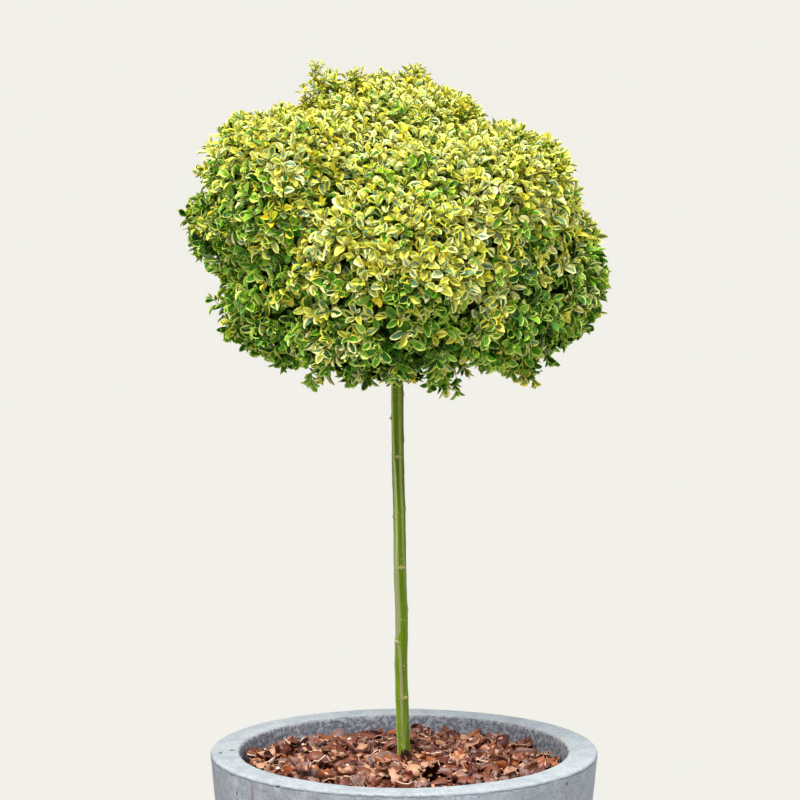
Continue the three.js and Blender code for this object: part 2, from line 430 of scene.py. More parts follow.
def blank_material(name: str) -> tuple[Material, Node]:
    """Starts a material.

    Args:
        name: The material's name.

    Returns:
        The material and its shader.
    """
    material = bpy.data.materials.new(name)
    material.use_nodes = True
    return material, material.node_tree.nodes["Principled BSDF"]


@dataclass(frozen=True)
class PlainFinish:
    """One plain colour for small joined shapes such as leaves, twigs and husks."""

    name: str
    chart: str
    roughness: float
    specular: float = 0.5

    def material(self) -> Material:
        """Makes the material with plain shader values.

        Returns:
            The material.
        """
        material, shader = blank_material(self.name)
        shader.inputs["Base Color"].default_value = linear(self.chart)
        shader.inputs["Roughness"].default_value = self.roughness
        shader.inputs["Specular IOR Level"].default_value = self.specular
        return material


def plain_tones(prefix: str, tones: type[Enum]) -> list[Material]:
    """Makes the plain material of every tone, in slot order."""
    return [PlainFinish(f"{prefix}_{t.name.lower()}", *t.value).material() for t in tones]


class PatternedFinish(Wiring):
    """A material whose colour, roughness and relief change over the surface."""

    def __init__(self, name: str, effects: Effects, specular: float) -> None:
        """Starts the material.

        Args:
            name: The material's name.
            effects: The shared node groups.
            specular: The shader's specular level.
        """
        self.material, self.shader = blank_material(name)
        super().__init__(self.material.node_tree)
        self.effects = effects
        self.shader.inputs["Specular IOR Level"].default_value = specular
        self.place = self.add("ShaderNodeTexCoord").outputs["Object"]

    def effect(self, tree: NodeTree, vector: NodeSocket, values: dict[str, object]) -> NodeSocket:
        """Places a node group on the surface and gives its mask."""
        return self.add("ShaderNodeGroup", {"Vector": vector} | values, node_tree=tree).outputs[0]

    def masks(self, patches: Rows, dots: Rows = ()) -> dict[str, NodeSocket]:
        """Places soft patches and round dots.

        Args:
            patches: For each its name, its scale to the metre, the noise levels where it starts
                and where it is full, and where it is drawn out its scale along Z.
            dots: For each its name, its cells to the metre, the share of them with a dot, its
                radius in cells, and where it is drawn out its scale along Z.

        Returns:
            The masks by name.
        """
        made = {}
        kinds = (
            (self.effects.mottle, ("Scale", "Low", "High"), patches),
            (self.effects.pores, ("Scale", "Share", "Radius"), dots),
        )
        for tree, labels, rows in kinds:
            for name, *values in rows:
                vector = self.place
                if len(values) > len(labels):
                    scale = {"Vector": vector, "Scale": (1.0, 1.0, values[-1])}
                    vector = self.add("ShaderNodeMapping", scale).outputs[0]
                made[name] = self.effect(tree, vector, dict(zip(labels, values)))
        return made

    def blots(self, colour: NodeSocket, rows: Rows, grain: float, rough: float, paint: tuple) -> NodeSocket:
        """Paints ragged blots at named places.

        Args:
            colour: The colour under them.
            rows: Each blot's middle and its half sizes along the axes.
            grain: The scale of their ragged edges.
            rough: How ragged they are.
            paint: Their colour and its share.

        Returns:
            The colour on top.
        """
        for centre, size in rows:
            values = {"Centre": centre, "Size": size, "Grain": grain, "Rough": rough}
            blot = self.effect(self.effects.mark, self.place, values)
            colour = self.coats(colour, {"blot": blot}, (("blot", *paint),))
        return colour

    def finish(self, colour: NodeSocket, roughness: object, height: NodeSocket, depth: float) -> Material:
        """Joins the finish to the shader.

        Args:
            colour: The base colour.
            roughness: A socket or number.
            height: The relief, 0 to 1.
            depth: The relief's depth in metres.

        Returns:
            The material.
        """
        bump = self.add("ShaderNodeBump", {"Height": height, "Strength": 1.0, "Distance": depth})
        ends = {"Base Color": colour, "Roughness": roughness, "Normal": bump.outputs[0]}
        for name, value in ends.items():
            self.feed(self.shader.inputs[name], value)
        return self.material


@dataclass(frozen=True)
class CoatedSurface:
    """A rough natural surface: coats on a base colour, and the relief of one mask."""

    name: str
    base: str
    patches: Rows
    dots: Rows
    coats: Rows
    raised: str
    relief: float
    roughness: float
    specular: float

    def material(self, effects: Effects) -> Material:
        """Makes the material.

        Args:
            effects: The shared node groups.

        Returns:
            The material.
        """
        finish = PatternedFinish(self.name, effects, self.specular)
        masks = finish.masks(self.patches, self.dots)
        colour = finish.coats(self.base, masks, self.coats)
        return finish.finish(colour, self.roughness, masks[self.raised], self.relief)


# Near-black compost: partly its own colour, partly painted shade where it shows between the husks.
COMPOST_AND_PAINTED_SHADE = CoatedSurface(
    name="moist_compost",
    base="#150c08",
    patches=(("crumbs", 190.0, 0.40, 0.60),),
    dots=(("specks", 260.0, 0.12, 0.4),),
    coats=(("crumbs", "#2c1b12"), ("specks", "#4b3828")),
    raised="crumbs",
    relief=3 * MM,
    roughness=0.95,
    specular=0.25,
)
BROWN_BARK = CoatedSurface(
    name="brown_bark",
    base="#8a7a52",
    patches=(("furrows", 420.0, 0.40, 0.60), ("algae", 60.0, 0.45, 0.62)),
    dots=(("spots", 380.0, 0.15, 0.3),),
    coats=(("furrows", "#57482f"), ("algae", "#6b7a35", 0.6), ("spots", "#8a7a52")),
    raised="furrows",
    relief=0.5 * MM,
    roughness=0.75,
    specular=0.3,
)


# ---------------- planter


@dataclass(frozen=True)
class CastConcrete:
    """Grey cast concrete with a whitish rim and a darker, pitted inside."""

    wall: str = "#999ea8"
    rim: str = "#b0b6b9"
    inside: str = "#a6a9b4"
    specular: float = 0.35
    roughness: Numbers = (0.78, 0.90)
    relief: float = 1.2 * MM
    patches: Rows = (
        ("clouds", 9.0, 0.36, 0.62), ("haze", 46.0, 0.40, 0.66), ("grit", 230.0, 0.46, 0.66),
        ("stain", 38.0, 0.42, 0.6), ("wander", 150.0, 0.25, 0.75), ("seam", 30.0, 0.28, 0.50),
        ("cluster", 34.0, 0.36, 0.54), ("blotch", 190.0, 0.38, 0.6), ("shade", 24.0, 0.5, 0.7),
        ("waver", 90.0, 0.3, 0.7), ("lumps", 75.0, 0.2, 0.8),
    )
    dots: Rows = (
        ("flecks", 350.0, 0.20, 0.42), ("pits", 210.0, 0.09, 0.24), ("rough_pits", 330.0, 0.5, 0.5),
    )
    wall_coats: Rows = (
        ("clouds", "#7c818b", 0.6), ("haze", "#acb0b9", 0.55), ("grit", "#7c818b", 0.45),
        ("damp", "#7f8388", 0.5), ("flecks", "#565a62", 0.45),
    )
    # The last rim coat is painted shade on the rounded edges just below the top.
    rim_coats: Rows = (
        ("haze", "#969ea4", 0.7), ("grit", "#969ea4", 0.75), ("flecks", "#565a62", 0.42),
        ("stain", "#b9ab95"), ("turned", "#8f959c"),
    )
    seam_coats: Rows = (("seam", "#565a62", 0.85), ("cluster", "#2b2c30"))
    inside_coats: Rows = (
        ("blotch", "#747782"), ("shade", "#7c818b", 0.5), ("rough_pits", "#2b2c30", 0.45),
    )
    pit_coats: Rows = (("pits", "#2b2c30", 0.75),)
    damp_rise: float = 60 * MM
    stain_reach: float = 5 * MM
    stain_share: float = 0.8
    # Drops below the top over which the painted shade on the rounded edges grows, and its full share.
    edge_shade_drop: Numbers = (0.6 * MM, 3 * MM)
    edge_shade_share: float = 0.85
    wander: float = 1.5 * MM
    rim_band: float = 3.3 * MM
    rim_blend: float = 1.8 * MM
    seam: float = 1.5 * MM
    cluster_drop: Numbers = (5 * MM, 8 * MM)
    cluster_share: float = 0.9
    inward: Numbers = (6 * MM, 3 * MM)
    lip: Numbers = (0.5 * MM, 2 * MM)
    lump_height: float = 0.7
    grit_height: float = 0.18
    fleck_depth: float = 0.25
    rough_depth: float = 0.8
    crack_grain: float = 420.0
    crack_rough: float = 0.9
    crack_paint: tuple[str, float] = ("#2b2c30", 0.85)
    cracks: Rows = (
        ((-0.225, -0.018, 0.398), (0.0040, 0.0080, 0.0050)),
        ((-0.2115, -0.004, 0.400), (0.0055, 0.0060, 0.0040)),
        ((-0.2015, -0.125, 0.3735), (0.0018, 0.0060, 0.0050)),
        ((-0.208, -0.118, 0.395), (0.0040, 0.0060, 0.0020)),
        ((-0.150, -0.185, 0.3965), (0.0040, 0.0060, 0.0022)),
        ((-0.142, -0.191, 0.378), (0.0026, 0.0040, 0.0013)),
        ((0.150, 0.176, 0.399), (0.0035, 0.0020, 0.0030)),
        ((0.196, -0.135, 0.388), (0.0030, 0.0030, 0.0040)),
    )
    hairline_grain: float = 160.0
    hairline_rough: float = 0.5
    hairline_paint: tuple[str, float] = ("#85666a", 0.9)
    hairlines: Rows = (((-0.182, -0.153, 0.375), (0.0013, 0.010, 0.023)),)

    def material(self, effects: Effects, top: float, mouth: float, slope: float) -> Material:
        """Makes the material.

        Args:
            effects: The shared node groups.
            top: The rim's height.
            mouth: The mouth's radius at the rim.
            slope: How much wider the pot grows for its height.

        Returns:
            The material.
        """
        finish = PatternedFinish("cast_concrete", effects, self.specular)
        times, plus, minus, ease = finish.times, finish.plus, finish.minus, finish.ease
        masks = finish.masks(self.patches, self.dots)
        across, deep, height = finish.add("ShaderNodeSeparateXYZ", {"Vector": finish.place}).outputs
        squares = (finish.maths("POWER", part, 2.0) for part in (across, deep))
        radius = finish.maths("SQRT", plus(*squares))
        masks["damp"] = ease(height, self.damp_rise, 0.0)
        wall = finish.coats(self.wall, masks, self.wall_coats)
        lip = ease(radius, mouth + self.stain_reach, mouth, 0.0, self.stain_share)
        masks["stain"] = times(lip, masks["stain"])
        # Painted shade: the rim's colour darkens on the rounded edges below the top.
        masks["turned"] = ease(height, *(top - drop for drop in self.edge_shade_drop), 0.0, self.edge_shade_share)
        rim = finish.coats(self.rim, masks, self.rim_coats)
        edge = plus(height, times(masks["wander"], self.wander))
        seam = top - self.rim_band
        colour = finish.mix(ease(edge, seam, seam + self.rim_blend), wall, rim)
        off_seam = finish.maths("ABSOLUTE", minus(edge, seam))
        masks["seam"] = times(ease(off_seam, self.seam, 0.0), masks["seam"])
        low = ease(height, *(top - drop for drop in self.cluster_drop), 0.0, self.cluster_share)
        masks["cluster"] = times(times(masks["flecks"], masks["cluster"]), low)
        colour = finish.coats(colour, masks, self.seam_coats)
        hollow = finish.coats(self.inside, masks, self.inside_coats)
        level = plus(radius, times(minus(top, height), slope))
        inward = ease(level, *(mouth + reach for reach in self.inward))
        above, below = self.lip
        sunk = ease(plus(height, times(masks["waver"], self.wander)), top + above, top - below)
        inside = times(inward, sunk)
        colour = finish.mix(inside, colour, hollow)
        colour = finish.blots(colour, self.cracks, self.crack_grain, self.crack_rough, self.crack_paint)
        thread = (self.hairline_grain, self.hairline_rough, self.hairline_paint)
        colour = finish.blots(colour, self.hairlines, *thread)
        colour = finish.coats(colour, masks, self.pit_coats)
        bump = plus(times(masks["lumps"], self.lump_height), times(masks["grit"], self.grit_height))
        bump = minus(bump, times(masks["flecks"], self.fleck_depth))
        bump = minus(bump, masks["pits"])
        bump = minus(bump, times(times(inside, masks["rough_pits"]), self.rough_depth))
        shine = ease(masks["haze"], 0.0, 1.0, *self.roughness)
        return finish.finish(colour, shine, bump, self.relief)


@dataclass
class Planter:
    """Thick-walled round concrete pot with softly rounded edges."""

    effects: Effects
    node: str = "pot"
    fill_node: str = "compost"
    foot_radius: float = 198 * MM
    floor: float = 36 * MM
    rim_edge: float = 5 * MM
    lip_edge: float = 4.5 * MM
    foot_edge: float = 14 * MM
    hollow_edge: float = 24 * MM
    around: int = 256
    wall_rows: int = 44
    top_rows: int = 5
    top_step: float = 5 * MM
    top_depth: float = 0.1 * MM
    edge_rows: int = 5
    near: float = 0.5 * MM
    sway: float = 0.9 * MM
    dimple: float = 0.28 * MM
    chip: float = 2.3 * MM
    sway_pitch: float = 9.0
    dimple_pitch: float = 75.0
    chip_pitch: float = 42.0
    chip_level: float = 0.34
    flat_foot: float = 3 * MM

    def __post_init__(self) -> None:
        """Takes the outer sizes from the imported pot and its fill."""
        high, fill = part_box(self.node)[1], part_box(self.fill_node)[1]
        self.height, self.rim_radius = high.z, high.x
        self.slope = (self.rim_radius - self.foot_radius) / self.height
        self.wall = self.foot_radius + self.slope * fill.z - fill.x
        self.mouth = self.rim_radius - self.wall

    def corners(self) -> list[tuple[float, float]]:
        """Gives the sharp section, as radius and height from the axis round to the axis."""
        hollow_foot = self.foot_radius + self.slope * self.floor - self.wall
        sharp = [(self.foot_radius, 0.0), (self.rim_radius, self.height), (self.mouth, self.height)]
        return [(0.0, 0.0), *sharp, (hollow_foot, self.floor), (0.0, self.floor)]

    def ring(self, bm: BMesh, radius: float, height: float) -> list[BMEdge]:
        """Finds the ring of edges at one corner of the section.

        Args:
            bm: The turned shape.
            radius: The corner's radius.
            height: The corner's height.

        Returns:
            The edges.
        """

        def on(vert: BMVert) -> bool:
            """Tells whether a corner lies on the ring."""
            return max(abs(vert.co.xy.length - radius), abs(vert.co.z - height)) < self.near

        return [e for e in bm.edges if on(e.verts[0]) and on(e.verts[1])]

    def turned(self) -> BMesh:
        """Turns the section and rounds its edges.

        Returns:
            The shape, with rows for the relief.
        """
        bm = spun(self.corners(), self.around)
        bmesh.ops.recalc_face_normals(bm, faces=bm.faces)
        widths = (self.foot_edge, self.rim_edge, self.lip_edge, self.hollow_edge)
        for corner, width in zip(self.corners()[1:5], widths):
            bmesh.ops.bevel(
                bm,
                geom=self.ring(bm, *corner),
                offset=width,
                offset_type="OFFSET",
                affect="EDGES",
                segments=self.edge_rows,
                profile=0.5,
                material=-1,
            )
        tall = [e for e in bm.edges if abs(e.verts[0].co.z - e.verts[1].co.z) > self.height / 2]
        bmesh.ops.subdivide_edges(bm, edges=tall, cuts=self.wall_rows, use_grid_fill=True)
        flat = [e for e in bm.edges if min(v.co.z for v in e.verts) > self.height - self.top_depth]
        flat = [e for e in flat if abs(e.verts[0].co.xy.length - e.verts[1].co.xy.length) > self.top_step]
        bmesh.ops.subdivide_edges(bm, edges=flat, cuts=self.top_rows, use_grid_fill=True)
        return bm

    def weather(self, bm: BMesh) -> None:
        """Gives the casting its sway, dimples and chipped edges.

        Args:
            bm: The turned shape.
        """
        bm.normal_update()
        rings = ((self.rim_radius, self.rim_edge), (self.mouth, self.lip_edge))
        for vert in bm.verts:
            if vert.co.z < self.flat_foot or vert.co.xy.length < WELD:
                continue
            sway = noise.noise(vert.co * self.sway_pitch) * self.sway
            dimple = noise.noise(vert.co * self.dimple_pitch) * self.dimple
            nick = 0.0
            for radius, width in rings:
                reach = math.hypot(vert.co.xy.length - radius, vert.co.z - self.height)
                near = max(0.0, 1 - reach / width)
                level = noise.noise(vert.co * self.chip_pitch + Vector((radius, 0, 0)))
                nick += near * max(0.0, level - self.chip_level) * self.chip / (1 - self.chip_level)
            vert.co += vert.normal * (sway + dimple - nick)

    def build(self) -> None:
        """Makes the pot and gives its fill the compost's finish."""
        bm = self.turned()
        self.weather(bm)
        finish = CastConcrete().material(self.effects, self.height, self.mouth, self.slope)
        piece(mesh_from("planter_shell", bm), [finish], self.node)
        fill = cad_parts[self.fill_node]
        fill.data.materials.clear()
        fill.data.materials.append(COMPOST_AND_PAINTED_SHADE.material(self.effects))


# ---------------- husks


class HuskTone(Enum):
    """Plain finishes of the husks: chart colour, roughness and specular level."""

    RUST = ("#7c422c", 0.44)
    MAHOGANY = ("#4a1d13", 0.48, 0.35)
    CHESTNUT = ("#64301f", 0.42)
    TAN = ("#c28f6e", 0.46)
    ORANGE = ("#9e5629", 0.42)
    MAUVE = ("#88645b", 0.46)
    ASH = ("#7b625b", 0.52)
    PALE = ("#e6c6ab", 0.46)
    STRAW = ("#a3875c", 0.48)
    # A near-black tone, dealt to linings and single faces: painted shade under and between the husks.
    DUSK = ("#2e150e", 0.80, 0.1)


@dataclass
class HuskMulch:
    """Heap of cupped husks on a near-black bed, partly the compost's colour, partly painted shade in the
    gaps.
    """

    effects: Effects
    mouth: float
    rng: Rng
    node: str = "mulch"
    stem_foot: tuple[float, float] = (0.6 * MM, 0.0)
    stem_hole: float = 10.5 * MM
    bed_rows: int = 12
    bed_around: int = 96
    bed_drop: float = 13 * MM
    lump: float = 3 * MM
    lump_pitch: float = 60.0
    edge_drop: float = 17 * MM
    crown: Numbers = (0.35, 1.0)
    foot_dip: float = 4 * MM
    dip: Numbers = (0.05, 0.24)
    bank: float = 12 * MM
    bank_side: Numbers = (0.45, 1.0)
    bank_front: Numbers = (0.1, 0.6)
    count: int = 1380
    length: Numbers = (16 * MM, 29 * MM)
    shards: float = 0.20
    shard_size: Numbers = (0.45, 0.70)
    width_share: Numbers = (0.50, 0.84)
    depth_share: Numbers = (0.16, 0.46)
    blunt: Numbers = (0.10, 0.50)
    lean: Numbers = (-0.35, 0.35)
    lean_share: float = 0.4
    round_power: float = 2.4
    ragged: float = 0.09
    ragged_share: Numbers = (0.9, 1.2)
    curl: Numbers = (0.5, 1.4)
    curl_share: float = 0.75
    curl_power: float = 2.2
    crease: Numbers = (-0.25, 0.25)
    twist: float = 0.15
    uneven: float = 0.125
    lining: float = 0.04
    shell: float = 1.1 * MM
    long_nodes: int = 7
    cross_nodes: int = 5
    steep_odds: float = 0.15
    tilt: float = 0.36
    steep: Numbers = (0.4, 0.9)
    upright_odds: float = 0.56
    cell: float = 3 * MM
    wall_gap: float = 1.0 * MM
    tries: int = 7
    sink: float = 0.72
    first_lift: float = 1.5 * MM
    wall_reach: float = 0.72
    stem_reach: float = 0.55
    deals: Rows = (
        (
            "RUST MAHOGANY CHESTNUT MAUVE ASH ORANGE TAN STRAW",
            (0.18, 0.12, 0.15, 0.23, 0.07, 0.09, 0.145, 0.015),
        ),
        # Linings: the near-black share is painted shade.
        ("TAN ORANGE RUST DUSK CHESTNUT", (0.14, 0.20, 0.20, 0.28, 0.18)),
        ("PALE TAN RUST", (0.16, 0.38, 0.46)),
    )
    streaks: str = "CHESTNUT MAUVE RUST"
    streaked: float = 0.55
    streak_share: float = 0.35
    streak_whole: float = 0.75
    # Single faces in other tones: mauve and mahogany blemishes, tan and pale painted highlights on ridges,
    # near-black painted shade in cracks.
    flaws_and_painted_light: str = "TAN PALE DUSK MAHOGANY MAUVE"
    flaw_and_painted_light_odds: Numbers = (0.34, 0.10, 0.18, 0.20, 0.18)
    flaw_and_painted_light_share: float = 0.11

    def __post_init__(self) -> None:
        """Takes the heap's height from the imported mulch."""
        low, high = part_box(self.node)
        self.low, self.top, self.radius = low.z, high.z, high.x

    def eased(self, distance: Array, shares: Numbers) -> Array:
        """Eases from 0 to 1 between two shares of the heap's radius."""
        return smooth_share(distance, *(share * self.radius for share in shares))

    def surface(self, radius: Array) -> Array:
        """Gives the height of the heap's mean surface at a radius."""
        dip = self.foot_dip * (1 - self.eased(radius, self.dip))
        return self.top - self.edge_drop * self.eased(radius, self.crown) - dip

    def banked(self, across: Array, deep: Array) -> Array:
        """Gives how far the husks are banked up against the left of the wall."""
        return self.bank * self.eased(-across, self.bank_side) * (1 - self.eased(deep, self.bank_front))

    def bed(self) -> None:
        """Makes the bed under the husks, near black: partly the compost's colour, partly painted shade where
        it shows between them.
        """
        radii = np.linspace(0, self.radius, self.bed_rows)
        crown = list(zip(radii, self.surface(radii) - self.bed_drop))
        bm = spun([*crown, (self.radius, self.low), (0.0, self.low)], self.bed_around)
        for vert in bm.verts:
            if vert.co.z <= self.low + MM:
                continue
            vert.co.z += float(self.banked(np.float64(vert.co.x), np.float64(vert.co.y)))
            if vert.co.xy.length < self.radius - MM:
                vert.co.z += noise.noise(vert.co * self.lump_pitch) * self.lump
        piece(mesh_from("mulch_bed", bm), [COMPOST_AND_PAINTED_SHADE.material(self.effects)], self.node)

    def shapes(self) -> Array:
        """Shapes every husk about its own middle.

        Returns:
            Points, (husks, shell side, long, cross, 3).
        """
        rng, each = self.rng, (self.count, 1, 1)
        nodes = (self.count, self.long_nodes, self.cross_nodes)
        u = np.linspace(-1, 1, self.long_nodes)[None, :, None]
        v = np.linspace(-1, 1, self.cross_nodes)[None, None, :]
        length = rng.uniform(*self.length, each)
        shard = rng.random(each) < self.shards
        length = np.where(shard, length * rng.uniform(*self.shard_size, each), length)
        width = length * rng.uniform(*self.width_share, each)
        depth = width * rng.uniform(*self.depth_share, each)
        blunt, lean = rng.uniform(*self.blunt, each), rng.uniform(*self.lean, each)
        arch = np.sqrt(np.clip(1 - np.abs(u) ** self.round_power, 0, 1))
        outline = blunt + (1 - blunt) * arch + lean * u * self.lean_share
        ragged = rng.normal(0, self.ragged, nodes) * (np.maximum(np.abs(u), np.abs(v)) == 1)
        along, across = self.ragged_share
        x = length / 2 * (u + ragged * along)
        y = width / 2 * v * outline * (1 + ragged * across)
        curl = rng.uniform(*self.curl, each)
        bowl = 1 - (v**2) - self.curl_share * np.abs(u) ** self.curl_power * curl
        crease = rng.uniform(*self.crease, each) * np.abs(v)
        twist = rng.normal(0, self.twist, each) * u * v
        z = depth * (bowl + crease + twist + rng.normal(0, self.uneven, nodes))
        outer = np.stack(np.broadcast_arrays(x, y, z), -1)
        shrink = 1 - self.lining * np.abs(np.broadcast_arrays(v, x)[0])
        inner = outer * np.stack([shrink, shrink, np.ones_like(shrink)], -1)
        return np.stack([outer, inner - np.array([0, 0, self.shell])], 1)

    def turns(self) -> Array:
        """Draws how each husk lies.

        Returns:
            Matrices, (husks, 3, 3), whose rows are the husk's axes.
        """
        rng, n = self.rng, self.count
        steep = rng.random(n) < self.steep_odds
        tilt = np.abs(rng.normal(0, self.tilt, n)) + steep * rng.uniform(*self.steep, n)
        toward = rng.uniform(0, TAU, n)
        normal = np.stack([np.sin(tilt) * np.cos(toward), np.sin(tilt) * np.sin(toward), np.cos(tilt)], -1)
        normal *= np.where(rng.random(n) < self.upright_odds, 1.0, -1.0)[:, None]
        yaw = rng.uniform(0, TAU, n)
        flat = np.stack([np.cos(yaw), np.sin(yaw), np.zeros(n)], -1)
        long = unit(flat - normal * np.sum(flat * normal, -1, keepdims=True))
        return np.stack([long, np.cross(normal, long), normal], 1)

    def settle(self, husks: Array) -> Array:
        """Drops each husk on those below it.

        Args:
            husks: Turned shapes, (husks, points, 3).

        Returns:
            The middle of each husk.
        """
        rng, cell = self.rng, self.cell
        cells = int(2 * self.radius / cell) + 3
        half = cells * cell / 2
        axis = (np.arange(cells) + 0.5) * cell - half
        mean = self.surface(np.hypot(axis[:, None], axis[None, :]))
        start = mean + self.banked(axis[:, None], axis[None, :]) - self.bed_drop + self.first_lift
        level = start.copy()
        middles = np.zeros((self.count, 3))
        limit = self.mouth - self.wall_gap
        for i, points in enumerate(husks):
            reach = off_axis(points, 0, 0).max()
            far = max(limit - self.wall_reach * reach, 0.0) * np.sqrt(rng.random(self.tries))
            bearing = rng.uniform(0, TAU, self.tries)
            spots = np.stack([far * np.cos(bearing), far * np.sin(bearing)], -1)
            spots = spots[off_axis(spots, *self.stem_foot) > self.stem_hole + self.stem_reach * reach]
            if not len(spots):
                spots = np.array([[limit / 2, 0.0]])
            grid = tuple(((spots + half) / cell).astype(int).T)
            spot = spots[np.argmin(level[grid] - start[grid])]
            outside = off_axis(points, *-spot).max() - limit
            if outside > 0:
                spot = spot * (1 - outside / np.hypot(*spot))
            under = tuple(((points[:, :2] + spot + half) / cell).astype(int).T)
            lift = np.quantile(level[under] - points[:, 2], self.sink)
            middles[i] = (*spot, lift)
            np.maximum.at(level, under, points[:, 2] + lift)
        return middles

    def faces(self) -> tuple[Array, Array]:
        """Gives one husk's faces.

        Returns:
            Corner numbers, (faces, 4), and a kind for each: 0 outside, 1 inside, 2 broken edge.
        """
        size = self.long_nodes * self.cross_nodes
        skin = np.arange(size).reshape(self.long_nodes, self.cross_nodes)
        a, b, c, d = skin[:-1, :-1], skin[1:, :-1], skin[1:, 1:], skin[:-1, 1:]
        lining = np.stack([a, d, c, b], -1) + size
        walls = np.stack([np.stack([a, b, c, d], -1), lining], 2).reshape(-1, 4)
        here = np.concatenate([skin[:, 0], skin[-1, 1:], skin[-2::-1, -1], skin[0, -2:0:-1]])
        there = np.roll(here, -1)
        edges = np.stack([here, here + size, there + size, there], -1)
        kinds = np.concatenate([np.tile([0, 1], len(walls) // 2), np.full(len(edges), 2)])
        return np.concatenate([walls, edges]), kinds

    def tones(self, kinds: Array) -> Array:
        """Deals each husk its skin, lining and edge, with streaks and single faces of other tones: blemishes,
        painted highlights on ridges and painted shade in cracks.

        Args:
            kinds: The kind of each face of a husk.

        Returns:
            Material slots, (husks, faces).
        """
        rng, whole = self.rng, (kinds != 2)[None]
        picks = [rng.choice(slots_of(HuskTone, names), self.count, p=odds) for names, odds in self.deals]
        dealt = np.stack(picks, -1)[:, kinds]
        other = rng.choice(slots_of(HuskTone, self.streaks), self.count)
        strips = self.cross_nodes - 1
        streaked = rng.random((self.count, 1)) < self.streaked
        chosen = rng.random((self.count, strips)) < self.streak_share
        streak = streaked & chosen[:, np.arange(len(kinds)) // 2 % strips] & whole
        streak &= rng.random(streak.shape) < self.streak_whole
        dealt = np.where(streak, other[:, None], dealt)
        flaw_and_painted_light_tone = rng.choice(slots_of(HuskTone, self.flaws_and_painted_light), dealt.shape, p=self.flaw_and_painted_light_odds)
        return np.where((rng.random(dealt.shape) < self.flaw_and_painted_light_share) & whole, flaw_and_painted_light_tone, dealt)

    def build(self) -> None:
        """Makes the bed and the heap of husks."""
        self.bed()
        turned = np.einsum("nsuvk,nkj->nsuvj", self.shapes(), self.turns()).reshape(self.count, -1, 3)
        placed = turned + self.settle(turned)[:, None, :]
        quads, kinds = self.faces()
        joined = Joined()
        joined.add(placed, [quads], [self.tones(kinds)])
        piece(joined.mesh("mulch_husks"), plain_tones("husk", HuskTone), self.node)


# ---------------- stem and boughs


@dataclass(frozen=True)
class NodeScar:
    """Old side shoot's scar on the stem: height, bearing from +X in degrees, and size."""

    height: float
    bearing: float
    width: float = 4.8 * MM
    rise: float = 1.1 * MM


@dataclass(frozen=True)
class GreenBark:
    """Smooth green bark with pale ribs, a corky strip, scars and lenticels, with a painted highlight down the
    left front and painted shade down the front and right.
    """

    green: str = "#6a8808"
    pale: str = "#aab868"
    tan: str = "#9da076"
    specular: float = 0.12
    relief: float = 0.35 * MM
    gloss: Numbers = (0.46, 0.8)
    patches: Rows = (
        ("streak", 620.0, 0.38, 0.64, 0.06), ("patch", 30.0, 0.38, 0.62), ("fine", 900.0, 0.42, 0.6, 0.2),
    )
    dots: Rows = (
        ("long_dots", 300.0, 0.16, 0.30, 0.6), ("round_dots", 190.0, 0.34, 0.18),
        ("rib_dots", 340.0, 0.6, 0.34),
    )
    broken: Rows = (
        ("shade", "streak", 1.0, 0.75), ("rib", "fine", 0.95, 0.72), ("sunny", "patch", 0.75, 0.95),
        ("cork", "fine", 0.95, 0.6),
    )
    # The last under coat, dark olive from the shade mask, is painted shade down the front and right of the
    # stem.
    under_coats: Rows = (("patch", "#4f6c00", 0.3), ("streak", "#8ba61c", 0.35), ("shade", "#4f6c00"))
    # The first over coat, pale green, is a painted highlight down the stem's left front; the rest are the
    # bark's own marks.
    over_coats: Rows = (
        ("glint", "#cfdc90"), ("sunny", "#57451c"), ("cork", "#9f9977"), ("dots", "#d3cf95", 0.85),
        ("scar", "#d8cc8c"), ("eye", "#5a3c1e"),
    )
    drawn: tuple[str, ...] = ("rib", "tan", "glint", "shade", "sunny", "cork", "scar", "eye")
    dot_height: float = 0.9
    streak_height: float = 0.4
    fine_height: float = 0.25

    def material(self, effects: Effects) -> Material:
        """Makes the material from the stem's own attributes.

        Args:
            effects: The shared node groups.

        Returns:
            The material.
        """
        finish = PatternedFinish("green_bark", effects, self.specular)
        times, plus = finish.times, finish.plus
        drawn = {
            name: finish.add("ShaderNodeAttribute", attribute_name=name).outputs["Fac"] for name in self.drawn
        }
        masks = drawn | finish.masks(self.patches, self.dots)
        for name, by, first, last in self.broken:
            masks[name] = times(drawn[name], finish.ease(masks[by], 0.0, 1.0, first, last))
        colour = finish.coats(self.green, masks, self.under_coats)
        colour = finish.mix(masks["rib"], colour, finish.mix(drawn["tan"], self.pale, self.tan))
        dots = finish.maths("MAXIMUM", masks["long_dots"], masks["round_dots"])
        on_rib = times(times(masks["rib_dots"], drawn["rib"]), self.dot_height)
        masks["dots"] = finish.maths("MAXIMUM", dots, on_rib)
        colour = finish.coats(colour, masks, self.over_coats)
        relief = plus(times(masks["streak"], self.streak_height), times(masks["dots"], self.dot_height))
        relief = plus(relief, times(masks["fine"], self.fine_height))
        gloss = finish.ease(drawn["cork"], 0.0, 1.0, *self.gloss)
        return finish.finish(colour, gloss, relief, self.relief)


